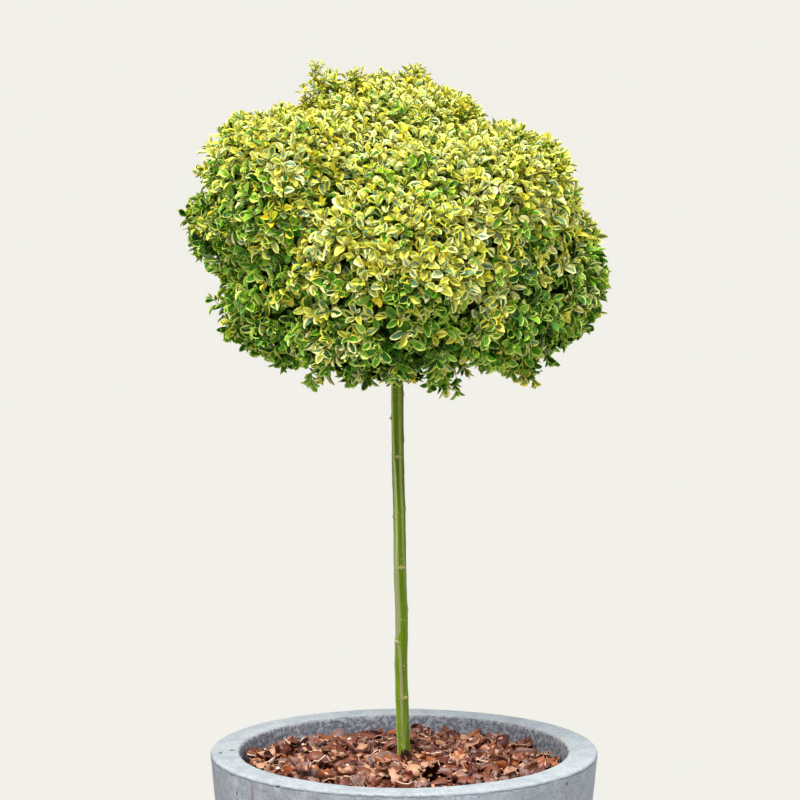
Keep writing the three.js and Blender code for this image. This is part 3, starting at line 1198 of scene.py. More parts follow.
@dataclass
class Stem:
    """Bare trunk with ribs, corky strip, scars and swollen nodes.

    Each table gives, at each of the heights in stops, a bearing from +X or a half width in degrees,
    or a share. The corky strip's bearings are at heights of their own, in strip_stops.
    """

    effects: Effects
    node: str = "stem"
    around: int = 64
    rows: int = 400
    ring_gap: float = 5 * MM
    girth: float = 1.05
    rib: float = 0.35 * MM
    cork_height: float = 0.35 * MM
    rough: float = 0.16 * MM
    rough_pitch: float = 420.0
    rough_stretch: float = 0.25
    sway: float = 0.3 * MM
    sway_pitch: float = 38.0
    sunk: float = 14 * MM
    band_edge: Numbers = (0.6, 1.3)
    brow: float = 1.1 * MM
    line_tall: float = 1.0 * MM
    line_power: int = 6
    bud: Numbers = (1.2 * MM, 0.9 * MM, 1.6 * MM)
    swell: Numbers = (4.5 * MM, 1.9)
    under: Numbers = (1.9 * MM, 0.7 * MM)
    above: Numbers = (1.7 * MM, 0.6 * MM)
    swell_height: float = 0.45 * MM
    line_height: float = 0.35 * MM
    bud_scar: float = 0.8
    above_eye: float = 0.7
    scar_share: float = 0.95
    eye_share: float = 0.7
    scars: tuple[NodeScar, ...] = (
        NodeScar(0.766, -92), NodeScar(0.692, -152, 5.0 * MM, 2.0 * MM), NodeScar(0.629, -74),
        NodeScar(0.536, -140, 5.4 * MM, 1.6 * MM), NodeScar(0.466, -52), NodeScar(0.842, -14, 3.0 * MM),
        NodeScar(0.786, -4, 2.6 * MM), NodeScar(0.702, -10, 3.0 * MM), NodeScar(0.576, -4, 2.6 * MM),
        NodeScar(0.813, 178, 1.8 * MM, 2.6 * MM), NodeScar(0.660, 96), NodeScar(0.596, 60),
        NodeScar(0.732, 120), NodeScar(0.505, 84), NodeScar(0.431, 150),
    )
    stops: Numbers = (0.38, 0.46, 0.53, 0.55, 0.62, 0.65, 0.71, 0.74, 0.775, 0.84, 0.95)
    left_rib: Numbers = (-158, -160, -165, -132, -134, -128, -126, -128, -140, -156, -165)
    left_half: Numbers = (16, 12, 16, 34, 34, 24, 20, 20, 22, 18, 16)
    tan_share: Numbers = (0.1, 0.3, 0.9, 1.0, 0.8, 0.5, 0.1, 0.0, 0.2, 0.3, 0.0)
    # Bearing, half width and share of the painted highlight, a pale band down the left front.
    painted_highlight_turn: Numbers = (-140, -150, -140, -140, -130, -120, -116, -118, -132, -150, -152)
    painted_highlight_half: float = 8.0
    painted_highlight_share: Numbers = (0.1, 0.0, 0.0, 0.0, 0.1, 0.55, 0.8, 0.9, 0.6, 0.7, 0.3)
    # Bearing, half width and weight of the painted shade band.
    shade_turn: Numbers = (-50, -48, -52, -62, -66, -80, -86, -96, -96, -104, -104)
    shade_half: Numbers = (44, 44, 44, 44, 36, 28, 22, 18, 20, 24, 26)
    shade_weight: Numbers = (0.85, 0.7, 0.5, 0.55, 0.7, 0.45, 0.45, 0.9, 0.5, 0.35, 0.2)
    right_rib: Numbers = (-104, -40, -30, -30, -42, -54, -62, -68, -68, -70, -70)
    right_half: float = 13.0
    right_weight: Numbers = (0.5, 0.1, 0.1, 0.15, 0.5, 0.55, 0.75, 0.7, 0.7, 0.5, 0.4)
    back_ribs: Rows = ((150, 16.0), (240, 12.0))
    back_weight: float = 0.7
    brown_shift: float = 66
    brown_half: float = 46.0
    brown_share: Numbers = (0.15, 0.3, 0.45, 0.4, 0.6, 0.85, 0.85, 0.7, 0.7, 0.85, 0.85)
    strip_stops: Numbers = (0.38, 0.44, 0.48, 0.515, 0.530, 0.537)
    strip_turn: Numbers = (-100, -94, -90, -96, -112, -140)
    strip_edge: Numbers = (1.1 * MM, 2.2 * MM)
    strip_top: Numbers = (0.534, 0.538)
    strip_foot: Numbers = (0.36, 0.47)

    def line(self) -> tuple[Array, Array]:
        """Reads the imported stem's centre line.

        Returns:
            Ring centres, lowest first, and their radii.
        """
        points = distinct(packed_corners(self.node))
        points = points[np.argsort(points[:, 2])]
        rings = np.split(points, np.flatnonzero(np.diff(points[:, 2]) > self.ring_gap) + 1)
        centres = np.array([ring.mean(0) for ring in rings])
        radii = [np.linalg.norm(r - c, axis=1).max() for r, c in zip(rings, centres)]
        return centres, np.array(radii)

    def build(self) -> None:
        """Makes the stem with its bark's relief."""
        centres, radii = self.line()
        bm = bmesh.new()
        bmesh.ops.create_cone(bm, cap_ends=True, segments=self.around, radius1=1.0, radius2=1.0, depth=1.0)
        upright = [e for e in bm.edges if abs(e.verts[0].co.z - e.verts[1].co.z) > 0.5]
        bmesh.ops.subdivide_edges(bm, edges=upright, cuts=self.rows, use_grid_fill=True)
        points = np.array([tuple(v.co) for v in bm.verts])
        bearing = np.arctan2(points[:, 1], points[:, 0])
        low, high = centres[0, 2] - self.sunk, centres[-1, 2]
        height = low + (points[:, 2] + 0.5) * (high - low)
        axis = np.stack([np.interp(height, centres[:, 2], centres[:, i]) for i in (0, 1)], -1)
        radius = np.interp(height, centres[:, 2], radii) * self.girth
        relief, masks = self.relief(bearing, height, radius)
        across = np.stack([np.cos(bearing), np.sin(bearing)], -1) * (radius + relief)[:, None]
        for vert, xy, z in zip(bm.verts, axis + across, height):
            vert.co = (*xy, z)
        mesh = mesh_from("stem_bark", bm)
        for name, values in masks.items():
            layer = mesh.attributes.new(name, "FLOAT", "POINT")
            layer.data.foreach_set("value", values.astype(np.float32))
        piece(mesh, [GreenBark().material(self.effects)], self.node)

    def relief(self, bearing: Array, height: Array, radius: Array) -> tuple[Array, dict[str, Array]]:
        """Works out the bark's relief and where each colour lies.

        Args:
            bearing: Each point's bearing in radians.
            height: Each point's height.
            radius: The stem's radius there.

        Returns:
            Heights over the plain stem, and masks by name.
        """

        def off(centre: Array | float) -> Array:
            """Gives each point's turn from a bearing, in degrees."""
            return (np.degrees(bearing) - centre + 180) % 360 - 180

        def band(centre: Array, half: Array | float) -> Array:
            """Gives a soft band about a bearing."""
            return 1 - smooth_share(np.abs(off(centre)) / half, *self.band_edge)

        def at(table: Numbers) -> Array:
            """Reads a table at each point's height."""
            return np.interp(height, self.stops, table)

        left, right = at(self.left_rib), at(self.right_rib)
        ribs = [band(left, at(self.left_half)), at(self.right_weight) * band(right, self.right_half)]
        ribs += [self.back_weight * band(left + turn, half) for turn, half in self.back_ribs]
        # Painted highlight: a narrow pale band at the left front, by height.
        glint = band(at(self.painted_highlight_turn), self.painted_highlight_half) * at(self.painted_highlight_share)
        sunny = at(self.brown_share) * band(right + self.brown_shift, self.brown_half)
        # Painted shade: a dark band down the front and right, by height.
        shade = band(at(self.shade_turn), at(self.shade_half)) * at(self.shade_weight)
        strip = np.interp(height, self.strip_stops, self.strip_turn)
        arc = np.radians(np.abs(off(strip))) * radius
        cork = (1 - smooth_share(arc, *self.strip_edge)) * (1 - smooth_share(height, *self.strip_top))
        masks = {"rib": np.maximum.reduce(ribs), "tan": at(self.tan_share), "glint": glint}
        masks |= {"shade": shade, "sunny": sunny, "cork": cork * smooth_share(height, *self.strip_foot)}
        relief = masks["rib"] * self.rib + masks["cork"] * self.cork_height
        swell, masks["scar"], masks["eye"] = self.nodes(off, height, radius)
        across = [np.cos(bearing) * radius, np.sin(bearing) * radius]
        places = np.stack([*across, height * self.rough_stretch], -1)
        grain = np.array([noise.noise(Vector(p) * self.rough_pitch) for p in places])
        sway = np.array([noise.noise(Vector((0.0, 3.0, h * self.sway_pitch))) for h in height])
        return relief + swell + grain * self.rough + sway * self.sway, masks

    def nodes(
        self, off: Callable[[float], Array], height: Array, radius: Array
    ) -> tuple[Array, Array, Array]:
        """Works out the old nodes, each with its leaf scar and bud.

        Args:
            off: Gives each point's turn from a bearing.
            height: Each point's height.
            radius: The stem's radius there.

        Returns:
            Their relief, and the masks of the pale scars and of the dark lines about them.
        """

        def hump(up: Array, tall: float, side: Array, wide: float, power: int = 2) -> Array:
            """Gives a soft hump about a place."""
            return np.exp(-((up / tall) ** 2) - (side / wide) ** power)

        relief, scar, eye = np.zeros((3, len(height)))
        drop, bud_tall, bud_wide = self.bud
        swell_tall, swell_wide = self.swell
        for mark in self.scars:
            side = np.radians(off(mark.bearing)) * radius
            lift = height - mark.height
            rise = lift - self.brow * np.cos(np.pi * side / mark.width)
            line = hump(rise, self.line_tall, side, mark.width, self.line_power)
            bud = hump(lift + drop, bud_tall, side, bud_wide)
            swell = hump(lift, swell_tall, side, swell_wide * mark.width)
            relief = relief + swell * self.swell_height + line * self.line_height + bud * mark.rise
            scar = np.maximum(scar, np.maximum(line, self.bud_scar * bud))
            under = hump(rise + self.under[0], self.under[1], side, mark.width, self.line_power)
            above = hump(rise - self.above[0], self.above[1], side, mark.width, self.line_power)
            eye = np.maximum(eye, np.maximum(under * (1 - bud), self.above_eye * above))
        return relief, scar * self.scar_share, eye * self.eye_share


@dataclass
class Boughs:
    """Main boughs from the stem's head to each mass of foliage."""

    effects: Effects
    stem_line: Array
    prefix: str = "bough_"
    cuts: int = 3
    rounds: int = 2
    smoothing: float = 0.35
    rough: float = 0.32 * MM
    pitch: float = 260.0
    root_reach: float = 2.2 * MM
    root_near: float = 7 * MM
    end_reach: float = 6 * MM
    before_end: Numbers = (14 * MM, 48 * MM)

    def build(self) -> None:
        """Makes every bough with its bark's relief."""
        finish = BROWN_BARK.material(self.effects)
        line = self.stem_line
        for node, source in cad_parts.items():
            if not node.startswith(self.prefix):
                continue
            bm = bmesh.new()
            bm.from_mesh(source.data)
            bmesh.ops.remove_doubles(bm, verts=bm.verts, dist=WELD)
            bmesh.ops.subdivide_edges(bm, edges=bm.edges, cuts=self.cuts, use_grid_fill=True)
            for _ in range(self.rounds):
                bmesh.ops.smooth_vert(
                    bm,
                    verts=bm.verts,
                    factor=self.smoothing,
                    use_axis_x=True,
                    use_axis_y=True,
                    use_axis_z=True,
                )
            bm.normal_update()
            for vert in bm.verts:
                vert.co += vert.normal * noise.noise(vert.co * self.pitch) * self.rough
                axis = Vector([float(np.interp(vert.co.z, line[:, 2], line[:, i])) for i in (0, 1)])
                inward = axis - vert.co.xy
                if inward.length < self.root_near + self.root_reach:
                    vert.co.xy += inward.normalized() * self.root_reach
            name = f"bough_bark_{node.removeprefix(self.prefix)}"
            piece(mesh_from(name, bm), [finish], node)

    def entry(self, mass: str) -> tuple[Array, Array]:
        """Finds where a packed bough ends and which way it points.

        Args:
            mass: The mass that it enters.

        Returns:
            The end's middle and the heading there.
        """
        points = distinct(packed_corners(self.prefix + mass))
        far = points[np.argmax(np.linalg.norm(points - self.stem_line[-1], axis=1))]
        away = np.linalg.norm(points - far, axis=1)
        near, further = self.before_end
        end = points[away < self.end_reach].mean(0)
        return end, unit(end - points[(away > near) & (away < further)].mean(0))


# ---------------- foliage


class LeafTone(Enum):
    """Plain finishes dealt to the leaves, given as the husks' are."""

    CREAM = ("#f7f2a6", 0.46)
    LEMON = ("#ece55a", 0.44)
    YELLOW = ("#ecdf36", 0.46)
    GOLD = ("#f3d322", 0.46)
    PEAR = ("#cfdd62", 0.44)
    LIME = ("#aed02c", 0.44)
    OLIVE = ("#adaf32", 0.46)
    SAGE = ("#97ae76", 0.46)
    SEA = ("#628f66", 0.44)
    MOSS = ("#7c8b14", 0.44)
    MEADOW = ("#7fb02a", 0.42)
    LEAF = ("#4b8a10", 0.40, 0.35)
    DEEP = ("#265c0a", 0.40, 0.25)
    SHADE = ("#133c08", 0.42, 0.25)
    STALK = ("#a3b455", 0.50)
    DRY = ("#b58c62", 0.70)


@dataclass(frozen=True)
class Spray:
    """The tones of one shoot's leaves, by name, and their margin as a share of the half width."""

    margins: str
    centres: str
    margin: float


class SprayKind(Enum):
    """The sprays that the shoots are dealt."""

    BUTTERY = Spray("LEMON CREAM LEMON LEMON", "OLIVE SAGE SEA OLIVE", 0.54)
    CREAMY = Spray("CREAM CREAM LEMON", "SAGE SEA OLIVE MOSS", 0.50)
    LEMONY = Spray("LEMON LEMON CREAM YELLOW", "OLIVE SEA LEAF DEEP", 0.48)
    GOLDEN = Spray("LEMON YELLOW CREAM LEMON", "MOSS LEAF DEEP DEEP", 0.44)
    PURE_GOLD = Spray("YELLOW YELLOW GOLD", "YELLOW LIME LEMON", 0.50)
    FRESH = Spray("PEAR LIME PEAR", "MEADOW LEAF", 0.36)
    GREEN = Spray("PEAR LIME PEAR", "LEAF DEEP LEAF MEADOW SHADE", 0.28)
    DARK = Spray("LIME PEAR MEADOW", "DEEP SHADE LEAF", 0.18)


@dataclass(frozen=True)
class SprayOdds:
    """Odds of each spray, on the bright crown, between, and on the green underside."""

    bright: Numbers = (0.58, 0.13, 0.20, 0.05, 0.03, 0.01, 0.0, 0.0)
    middle: Numbers = (0.06, 0.18, 0.31, 0.20, 0.03, 0.12, 0.06, 0.04)
    green: Numbers = (0.0, 0.04, 0.05, 0.07, 0.01, 0.28, 0.29, 0.26)
    stops: Numbers = (0.0, 0.5, 1.0)

    def at(self, greenness: Array) -> Array:
        """Blends the odds for each shoot.

        Args:
            greenness: 0 on the bright crown to 1 underneath.

        Returns:
            Odds, (shoots, sprays).
        """
        rows = np.array([self.bright, self.middle, self.green])
        odds = np.stack([np.interp(greenness, self.stops, column) for column in rows.T], -1)
        return odds / odds.sum(-1, keepdims=True)


@dataclass
class LeafDraws:
    """Place and shape of each leaf in a batch."""

    base: Array
    axis: Array
    upper: Array
    length: Array
    width: Array
    recurve: Array
    fold: Array
    twist: Array
    margin: Array

    def pick(self, chosen: Array) -> "LeafDraws":
        """Keeps only the chosen leaves."""
        return LeafDraws(**{name: values[chosen] for name, values in vars(self).items()})


@dataclass(frozen=True)
class LeafPattern:
    """A leaf's outline, as shares of its length and half width.

    The corners are the stalk's four, a row of five at each stop, and the tip.
    """

    along: Numbers
    half: Numbers
    stalk: float = 0.13
    stalk_half: float = 0.35 * MM
    bend_power: float = 1.3
    uneven: float = 0.07
    wave: Numbers = (0.10, 0.10)
    margin_spread: float = 0.25
    margin_limits: Numbers = (0.16, 0.93)
    stalk_corners: int = 4
    row_corners: Rows = ((-1, 1), (-1, 0), (0, 0), (1, 0), (1, 1))
    first_centre: int = 3

    @property
    def zones(self) -> int:
        """Zones of a leaf: 0 the stalk, 1 and 2 the margin, then two for each row's centre."""
        return self.first_centre + 2 * len(self.along)

    def faces(self) -> tuple[Array, Array, Array, Array]:
        """Gives the leaf's faces and the zone that each lies in.

        Returns:
            Triangles, their zones, quads and their zones.
        """
        foot, width, centre = self.stalk_corners, len(self.row_corners), self.first_centre
        tip = foot + width * len(self.along)
        rows = np.arange(foot, tip).reshape(-1, width)
        left, right = foot - 2, foot - 1
        a, b, c, d, e = rows[0]
        tris = [(left, a, b), (left, b, c), (left, c, right), (right, c, d), (right, d, e)]
        tris += [(here, tip, there) for here, there in zip(rows[-1], rows[-1, 1:])]
        tri_zones = [1, centre, centre, centre + 1, 2, 1, 1, 2, 2]
        quads, quad_zones = [(0, left, right, 1)], [0]
        for here, there in zip(rows, rows[1:]):
            for i, zone in enumerate((1, centre, centre + 1, 2)):
                quads.append((here[i], there[i], there[i + 1], here[i + 1]))
                quad_zones.append(zone)
            centre += 2
        return np.array(tris), np.array(tri_zones), np.array(quads), np.array(quad_zones)

    def points(self, leaves: LeafDraws, rng: Rng) -> Array:
        """Shapes a batch of leaves in place.

        Args:
            leaves: Each leaf's frame and shape.
            rng: The seeded draws.

        Returns:
            Points, (leaves, corners, 3).
        """
        n, rows = len(leaves.base), len(self.along)
        axis, upper = leaves.axis[:, None], leaves.upper[:, None]
        side = np.cross(leaves.upper, leaves.axis)[:, None]
        stops = np.array([-self.stalk, 0.0, *self.along, 1.0])
        middle = (stops[1:] + stops[:-1]) / 2
        bend = leaves.recurve[:, None] * np.clip(middle, 0, 1)[None] ** self.bend_power
        steps, start = np.diff(stops), np.zeros((n, 1))
        run, drop = (
            np.concatenate([start, np.cumsum(part * steps, 1) * leaves.length[:, None]], 1)
            for part in (np.cos(bend), -np.sin(bend))
        )
        spine = leaves.base[:, None] + axis * run[..., None] + upper * drop[..., None]
        turn = (leaves.twist[:, None] * np.clip(stops, 0, 1)[None])[..., None]
        across = side * np.cos(turn) + upper * np.sin(turn)
        raised = upper * np.cos(turn) - side * np.sin(turn)
        slant = np.concatenate([bend, bend[:, -1:]], 1)[..., None]
        raised = unit(raised * np.cos(slant) + axis * np.sin(slant))
        at = self.stalk_corners
        points = np.zeros((n, at + len(self.row_corners) * rows + 1, 3))
        for stop in (0, 1):
            for j, sign in enumerate((-1, 1)):
                points[:, 2 * stop + j] = spine[:, stop] + across[:, stop] * sign * self.stalk_half
        shape = (n, rows, 2)
        uneven = rng.normal(0, self.uneven, shape)
        wave = rng.normal(*self.wave, shape)
        inner = 1 - leaves.margin[:, None, None] * (1 + rng.normal(0, self.margin_spread, shape))
        inner = np.clip(inner, *self.margin_limits)
        fold = leaves.fold[:, None]
        for r in range(rows):
            half = leaves.width[:, None] / 2 * self.half[r]
            for sign, at_edge in self.row_corners:
                flank = int(sign >= 0)
                share = 1 + uneven[:, r, flank] if at_edge else inner[:, r, flank]
                share = (share * abs(sign))[:, None]
                out = half * share * np.cos(fold) * sign
                lift = half * share * np.sin(fold) + at_edge * half * wave[:, r, flank][:, None]
                points[:, at] = spine[:, 2 + r] + across[:, 2 + r] * out + raised[:, 2 + r] * lift
                at += 1
        points[:, at] = spine[:, -1]
        return points


FULL_LEAF = LeafPattern((0.15, 0.42, 0.70, 0.90), (0.57, 1.0, 0.84, 0.44))
BACK_LEAF = LeafPattern((0.27, 0.68), (0.86, 0.86))


@dataclass(frozen=True)
class Layer:
    """One layer of shoots under the head's surface.

    Gaps, openings in degrees and sizes are for each pair of leaves, from the tip.
    """

    spacing: float
    inset: Numbers
    keep: float
    gaps: Numbers
    opened: Numbers
    sizes: Numbers
    fine: tuple[int, ...]
    greener_and_painted_shade: float
    old_margins: str


OUTER_LAYER = Layer(
    spacing=13.1 * MM,
    inset=(7.6 * MM, 3.4 * MM),
    keep=46 * MM,
    gaps=(0.0, 3.0 * MM, 8.0 * MM, 15.0 * MM, 24.0 * MM),
    opened=(30.0, 52.0, 66.0, 72.0, 76.0),
    sizes=(0.55, 0.86, 1.0, 1.02, 0.98),
    fine=(1, 2),
    greener_and_painted_shade=0.0,
    old_margins="PEAR MEADOW LEAF",
)
SHADE_LAYER = Layer(
    spacing=24 * MM,
    inset=(40 * MM, 6 * MM),
    keep=30 * MM,
    gaps=(0.0, 6.0 * MM, 14.0 * MM, 22.0 * MM),
    opened=(50.0, 66.0, 74.0, 78.0),
    sizes=(1.0, 1.2, 1.25, 1.2),
    fine=(),
    # The shade layer's leaves get darker green tones: partly older leaves, partly painted shade.
    greener_and_painted_shade=0.40,
    old_margins="MEADOW LEAF DEEP",
)


def tubes(paths: Array, radii: Array, sides: int) -> tuple[Array, Array, Array]:
    """Wraps round tubes along a batch of paths.

    Args:
        paths: Points along each, (tubes, points, 3).
        radii: Radius at each point, (tubes, points).
        sides: Sides of a tube.

    Returns:
        Points, (tubes, corners, 3), the side faces and the end faces.
    """
    n, count = paths.shape[:2]
    tangent = unit(np.gradient(paths, axis=1))
    mean = unit(paths[:, -1] - paths[:, 0])
    across = np.eye(3)[np.argmin(np.abs(mean), 1)][:, None]
    first = unit(np.cross(np.broadcast_to(across, tangent.shape), tangent))
    second = np.cross(tangent, first)
    turn = np.arange(sides) * TAU / sides
    ring = first[:, :, None] * np.cos(turn)[:, None] + second[:, :, None] * np.sin(turn)[:, None]
    points = paths[:, :, None] + ring * radii[:, :, None, None]
    number = np.arange(count * sides).reshape(count, sides)
    nearer, further = number[:-1], number[1:]
    walls = [nearer, np.roll(nearer, -1, 1), np.roll(further, -1, 1), further]
    ends = np.array([number[0][::-1], number[-1]])
    return points.reshape(n, -1, 3), np.stack(walls, -1).reshape(-1, 4), ends


def bent(start: Array, out: Array, end: Array, into: Array, count: int) -> Array:
    """Draws smooth curves between two ends.

    Args:
        start: Where each starts.
        out: The pull out of the start.
        end: Where each ends.
        into: The pull into the end.
        count: Points along each.

    Returns:
        Points, (curves, points, 3).
    """
    t = np.linspace(0, 1, count)[None, :, None]
    weights = ((1 - t) ** 3, 3 * t * (1 - t) ** 2, 3 * t**2 * (1 - t), t**3)
    return sum(w * p[:, None] for w, p in zip(weights, (start, start + out, end - into, end)))


@dataclass
class Shoots:
    """Growing tips of one mass."""

    tips: Array
    normals: Array
    headings: Array
    vigour: Array


@dataclass
class Limbs:
    """Branching of one mass, from the bough's end to the foot of every shoot."""

    shoots: Shoots
    rng: Rng
    keep: float
    fan: int = 4
    short: float = 6 * MM
    shares: Numbers = (0.42, 0.58)
    strides: Numbers = (0.40, 0.55)
    wander: float = 3.5 * MM
    straying: float = 0.4
    rising: float = 0.15
    pulls: Numbers = (0.33, 0.30)
    taper: float = 0.75
    thin: float = 0.75 * MM
    thicken: float = 0.235
    feet: dict[int, tuple[Array, Array]] = field(default_factory=dict)
    runs: list[tuple] = field(default_factory=list)

    def grow(self, members: Array, foot: Array, heading: Array) -> None:
        """Splits a cluster of shoots until each has its foot.

        Args:
            members: The shoots' numbers.
            foot: Where the limb has come to.
            heading: Which way it points.
        """
        if len(members) <= self.fan:
            self.feet |= {int(member): (foot, heading) for member in members}
            return
        tips = self.shoots.tips[members]
        spread = tips - tips.mean(0)
        main = np.linalg.svd(spread, full_matrices=False)[2][0]
        order = members[np.argsort(spread @ main)]
        cut = int(round(len(order) * self.rng.uniform(*self.shares)))
        for part in (order[:cut], order[cut:]):
            goal = self.shoots.tips[part].mean(0) - self.keep * unit(self.shoots.headings[part].mean(0))
            way = goal - foot
            last = len(part) <= self.fan
            step = float(np.linalg.norm(way)) * (1.0 if last else self.rng.uniform(*self.strides))
            if step < self.short:
                self.grow(part, foot, heading)
                continue
            joint = foot + unit(way) * step + self.rng.normal(0, 1, 3) * self.wander * (not last)
            onward = unit(unit(way) + self.straying * unit(joint - foot) + self.rising * UP)
            self.runs.append((foot, heading, joint, onward, float(len(members)), float(len(part))))
            self.grow(part, joint, onward)

    def paths(self, points: int) -> tuple[Array, Array]:
        """Draws the limbs.

        Args:
            points: Points along each.

        Returns:
            Paths and radii.
        """
        foot, heading, joint, onward, before, after = (np.array(part) for part in zip(*self.runs))
        length = np.linalg.norm(joint - foot, axis=1, keepdims=True)
        out, into = self.pulls
        paths = bent(foot, heading * length * out, joint, onward * length * into, points)
        thick = self.thin * np.maximum(before * self.taper, after) ** self.thicken
        end = self.thin * after**self.thicken
        share = np.linspace(0, 1, points)[None]
        return paths, thick[:, None] * (1 - share) + end[:, None] * share


@dataclass(frozen=True)
class Greening:
    """Where the head is bright and where it is green: 0 to 1. Low down and on the underside the sprays are
    darker and more green: partly the plant's own leaves, partly painted shade.

    The glades give a place across and up, a reach and a share. Left and right give the distances
    across, in metres, and the shares of the head's height between which they ease.
    """

    rise: Numbers = (0.0, 0.12, 0.22, 0.32, 0.42, 0.54, 0.63, 0.75, 0.82, 1.0)
    share: Numbers = (1.0, 0.91, 0.68, 0.45, 0.29, 0.21, 0.27, 0.11, 0.01, 0.0)
    left: Rows = ((0.09, 0.18), (0.60, 0.74), (0.32, 0.48))
    left_floor: Numbers = (0.4, 0.6)
    right: Rows = ((0.06, 0.18), (0.40, 0.62))
    # Shoots that face down get darker green sprays: painted shade.
    under: Numbers = (0.2, 0.8)
    pitches: Numbers = (14.0, 34.0)
    fine_patch: float = 0.8
    weights: Numbers = (0.85, 0.50, 0.20, 0.26)
    glade_edge: Numbers = (0.5, 1.4)
    # The spot with the largest share, under the top tuft, is painted shade.
    glades: Rows = (
        (0.020, 1.124, 0.024, 0.65), (-0.205, 1.125, 0.024, 0.30), (-0.070, 0.990, 0.020, 0.35),
        (0.062, 0.990, 0.020, 0.35), (-0.025, 1.052, 0.024, -0.40), (0.065, 1.016, 0.022, -0.35),
    )

    def at(self, tips: Array, normals: Array, rise: Array) -> Array:
        """Works out how green each shoot is.

        Args:
            tips: The shoots' tips.
            normals: The head's normals there.
            rise: Each tip's share of the head's height.

        Returns:
            0 on the bright crown to 1 on the shaded green parts.
        """
        sides, top, low = self.left
        left = smooth_share(-tips[:, 0], *sides) * (1 - smooth_share(rise, *top))
        left = left * between(self.left_floor, smooth_share(rise, *low))
        sides, top = self.right
        right = smooth_share(tips[:, 0], *sides) * (1 - smooth_share(rise, *top))
        # Painted shade on the underside.
        under = smooth_share(-normals[:, 2], *self.under)
        wide, fine = self.pitches
        spots = [Vector(tip) for tip in tips]
        patch = np.array([noise.noise(p * wide) + self.fine_patch * noise.noise(p * fine) for p in spots])
        green = np.interp(rise, self.rise, self.share)
        for weight, part in zip(self.weights, (left, right, under, patch)):
            green = green + weight * part
        for x, z, reach, share in self.glades:
            near, far = (edge * reach for edge in self.glade_edge)
            green = green + share * (1 - smooth_share(off_axis(tips, x, z, (0, 2)), near, far))
        return np.clip(green, 0, 1)


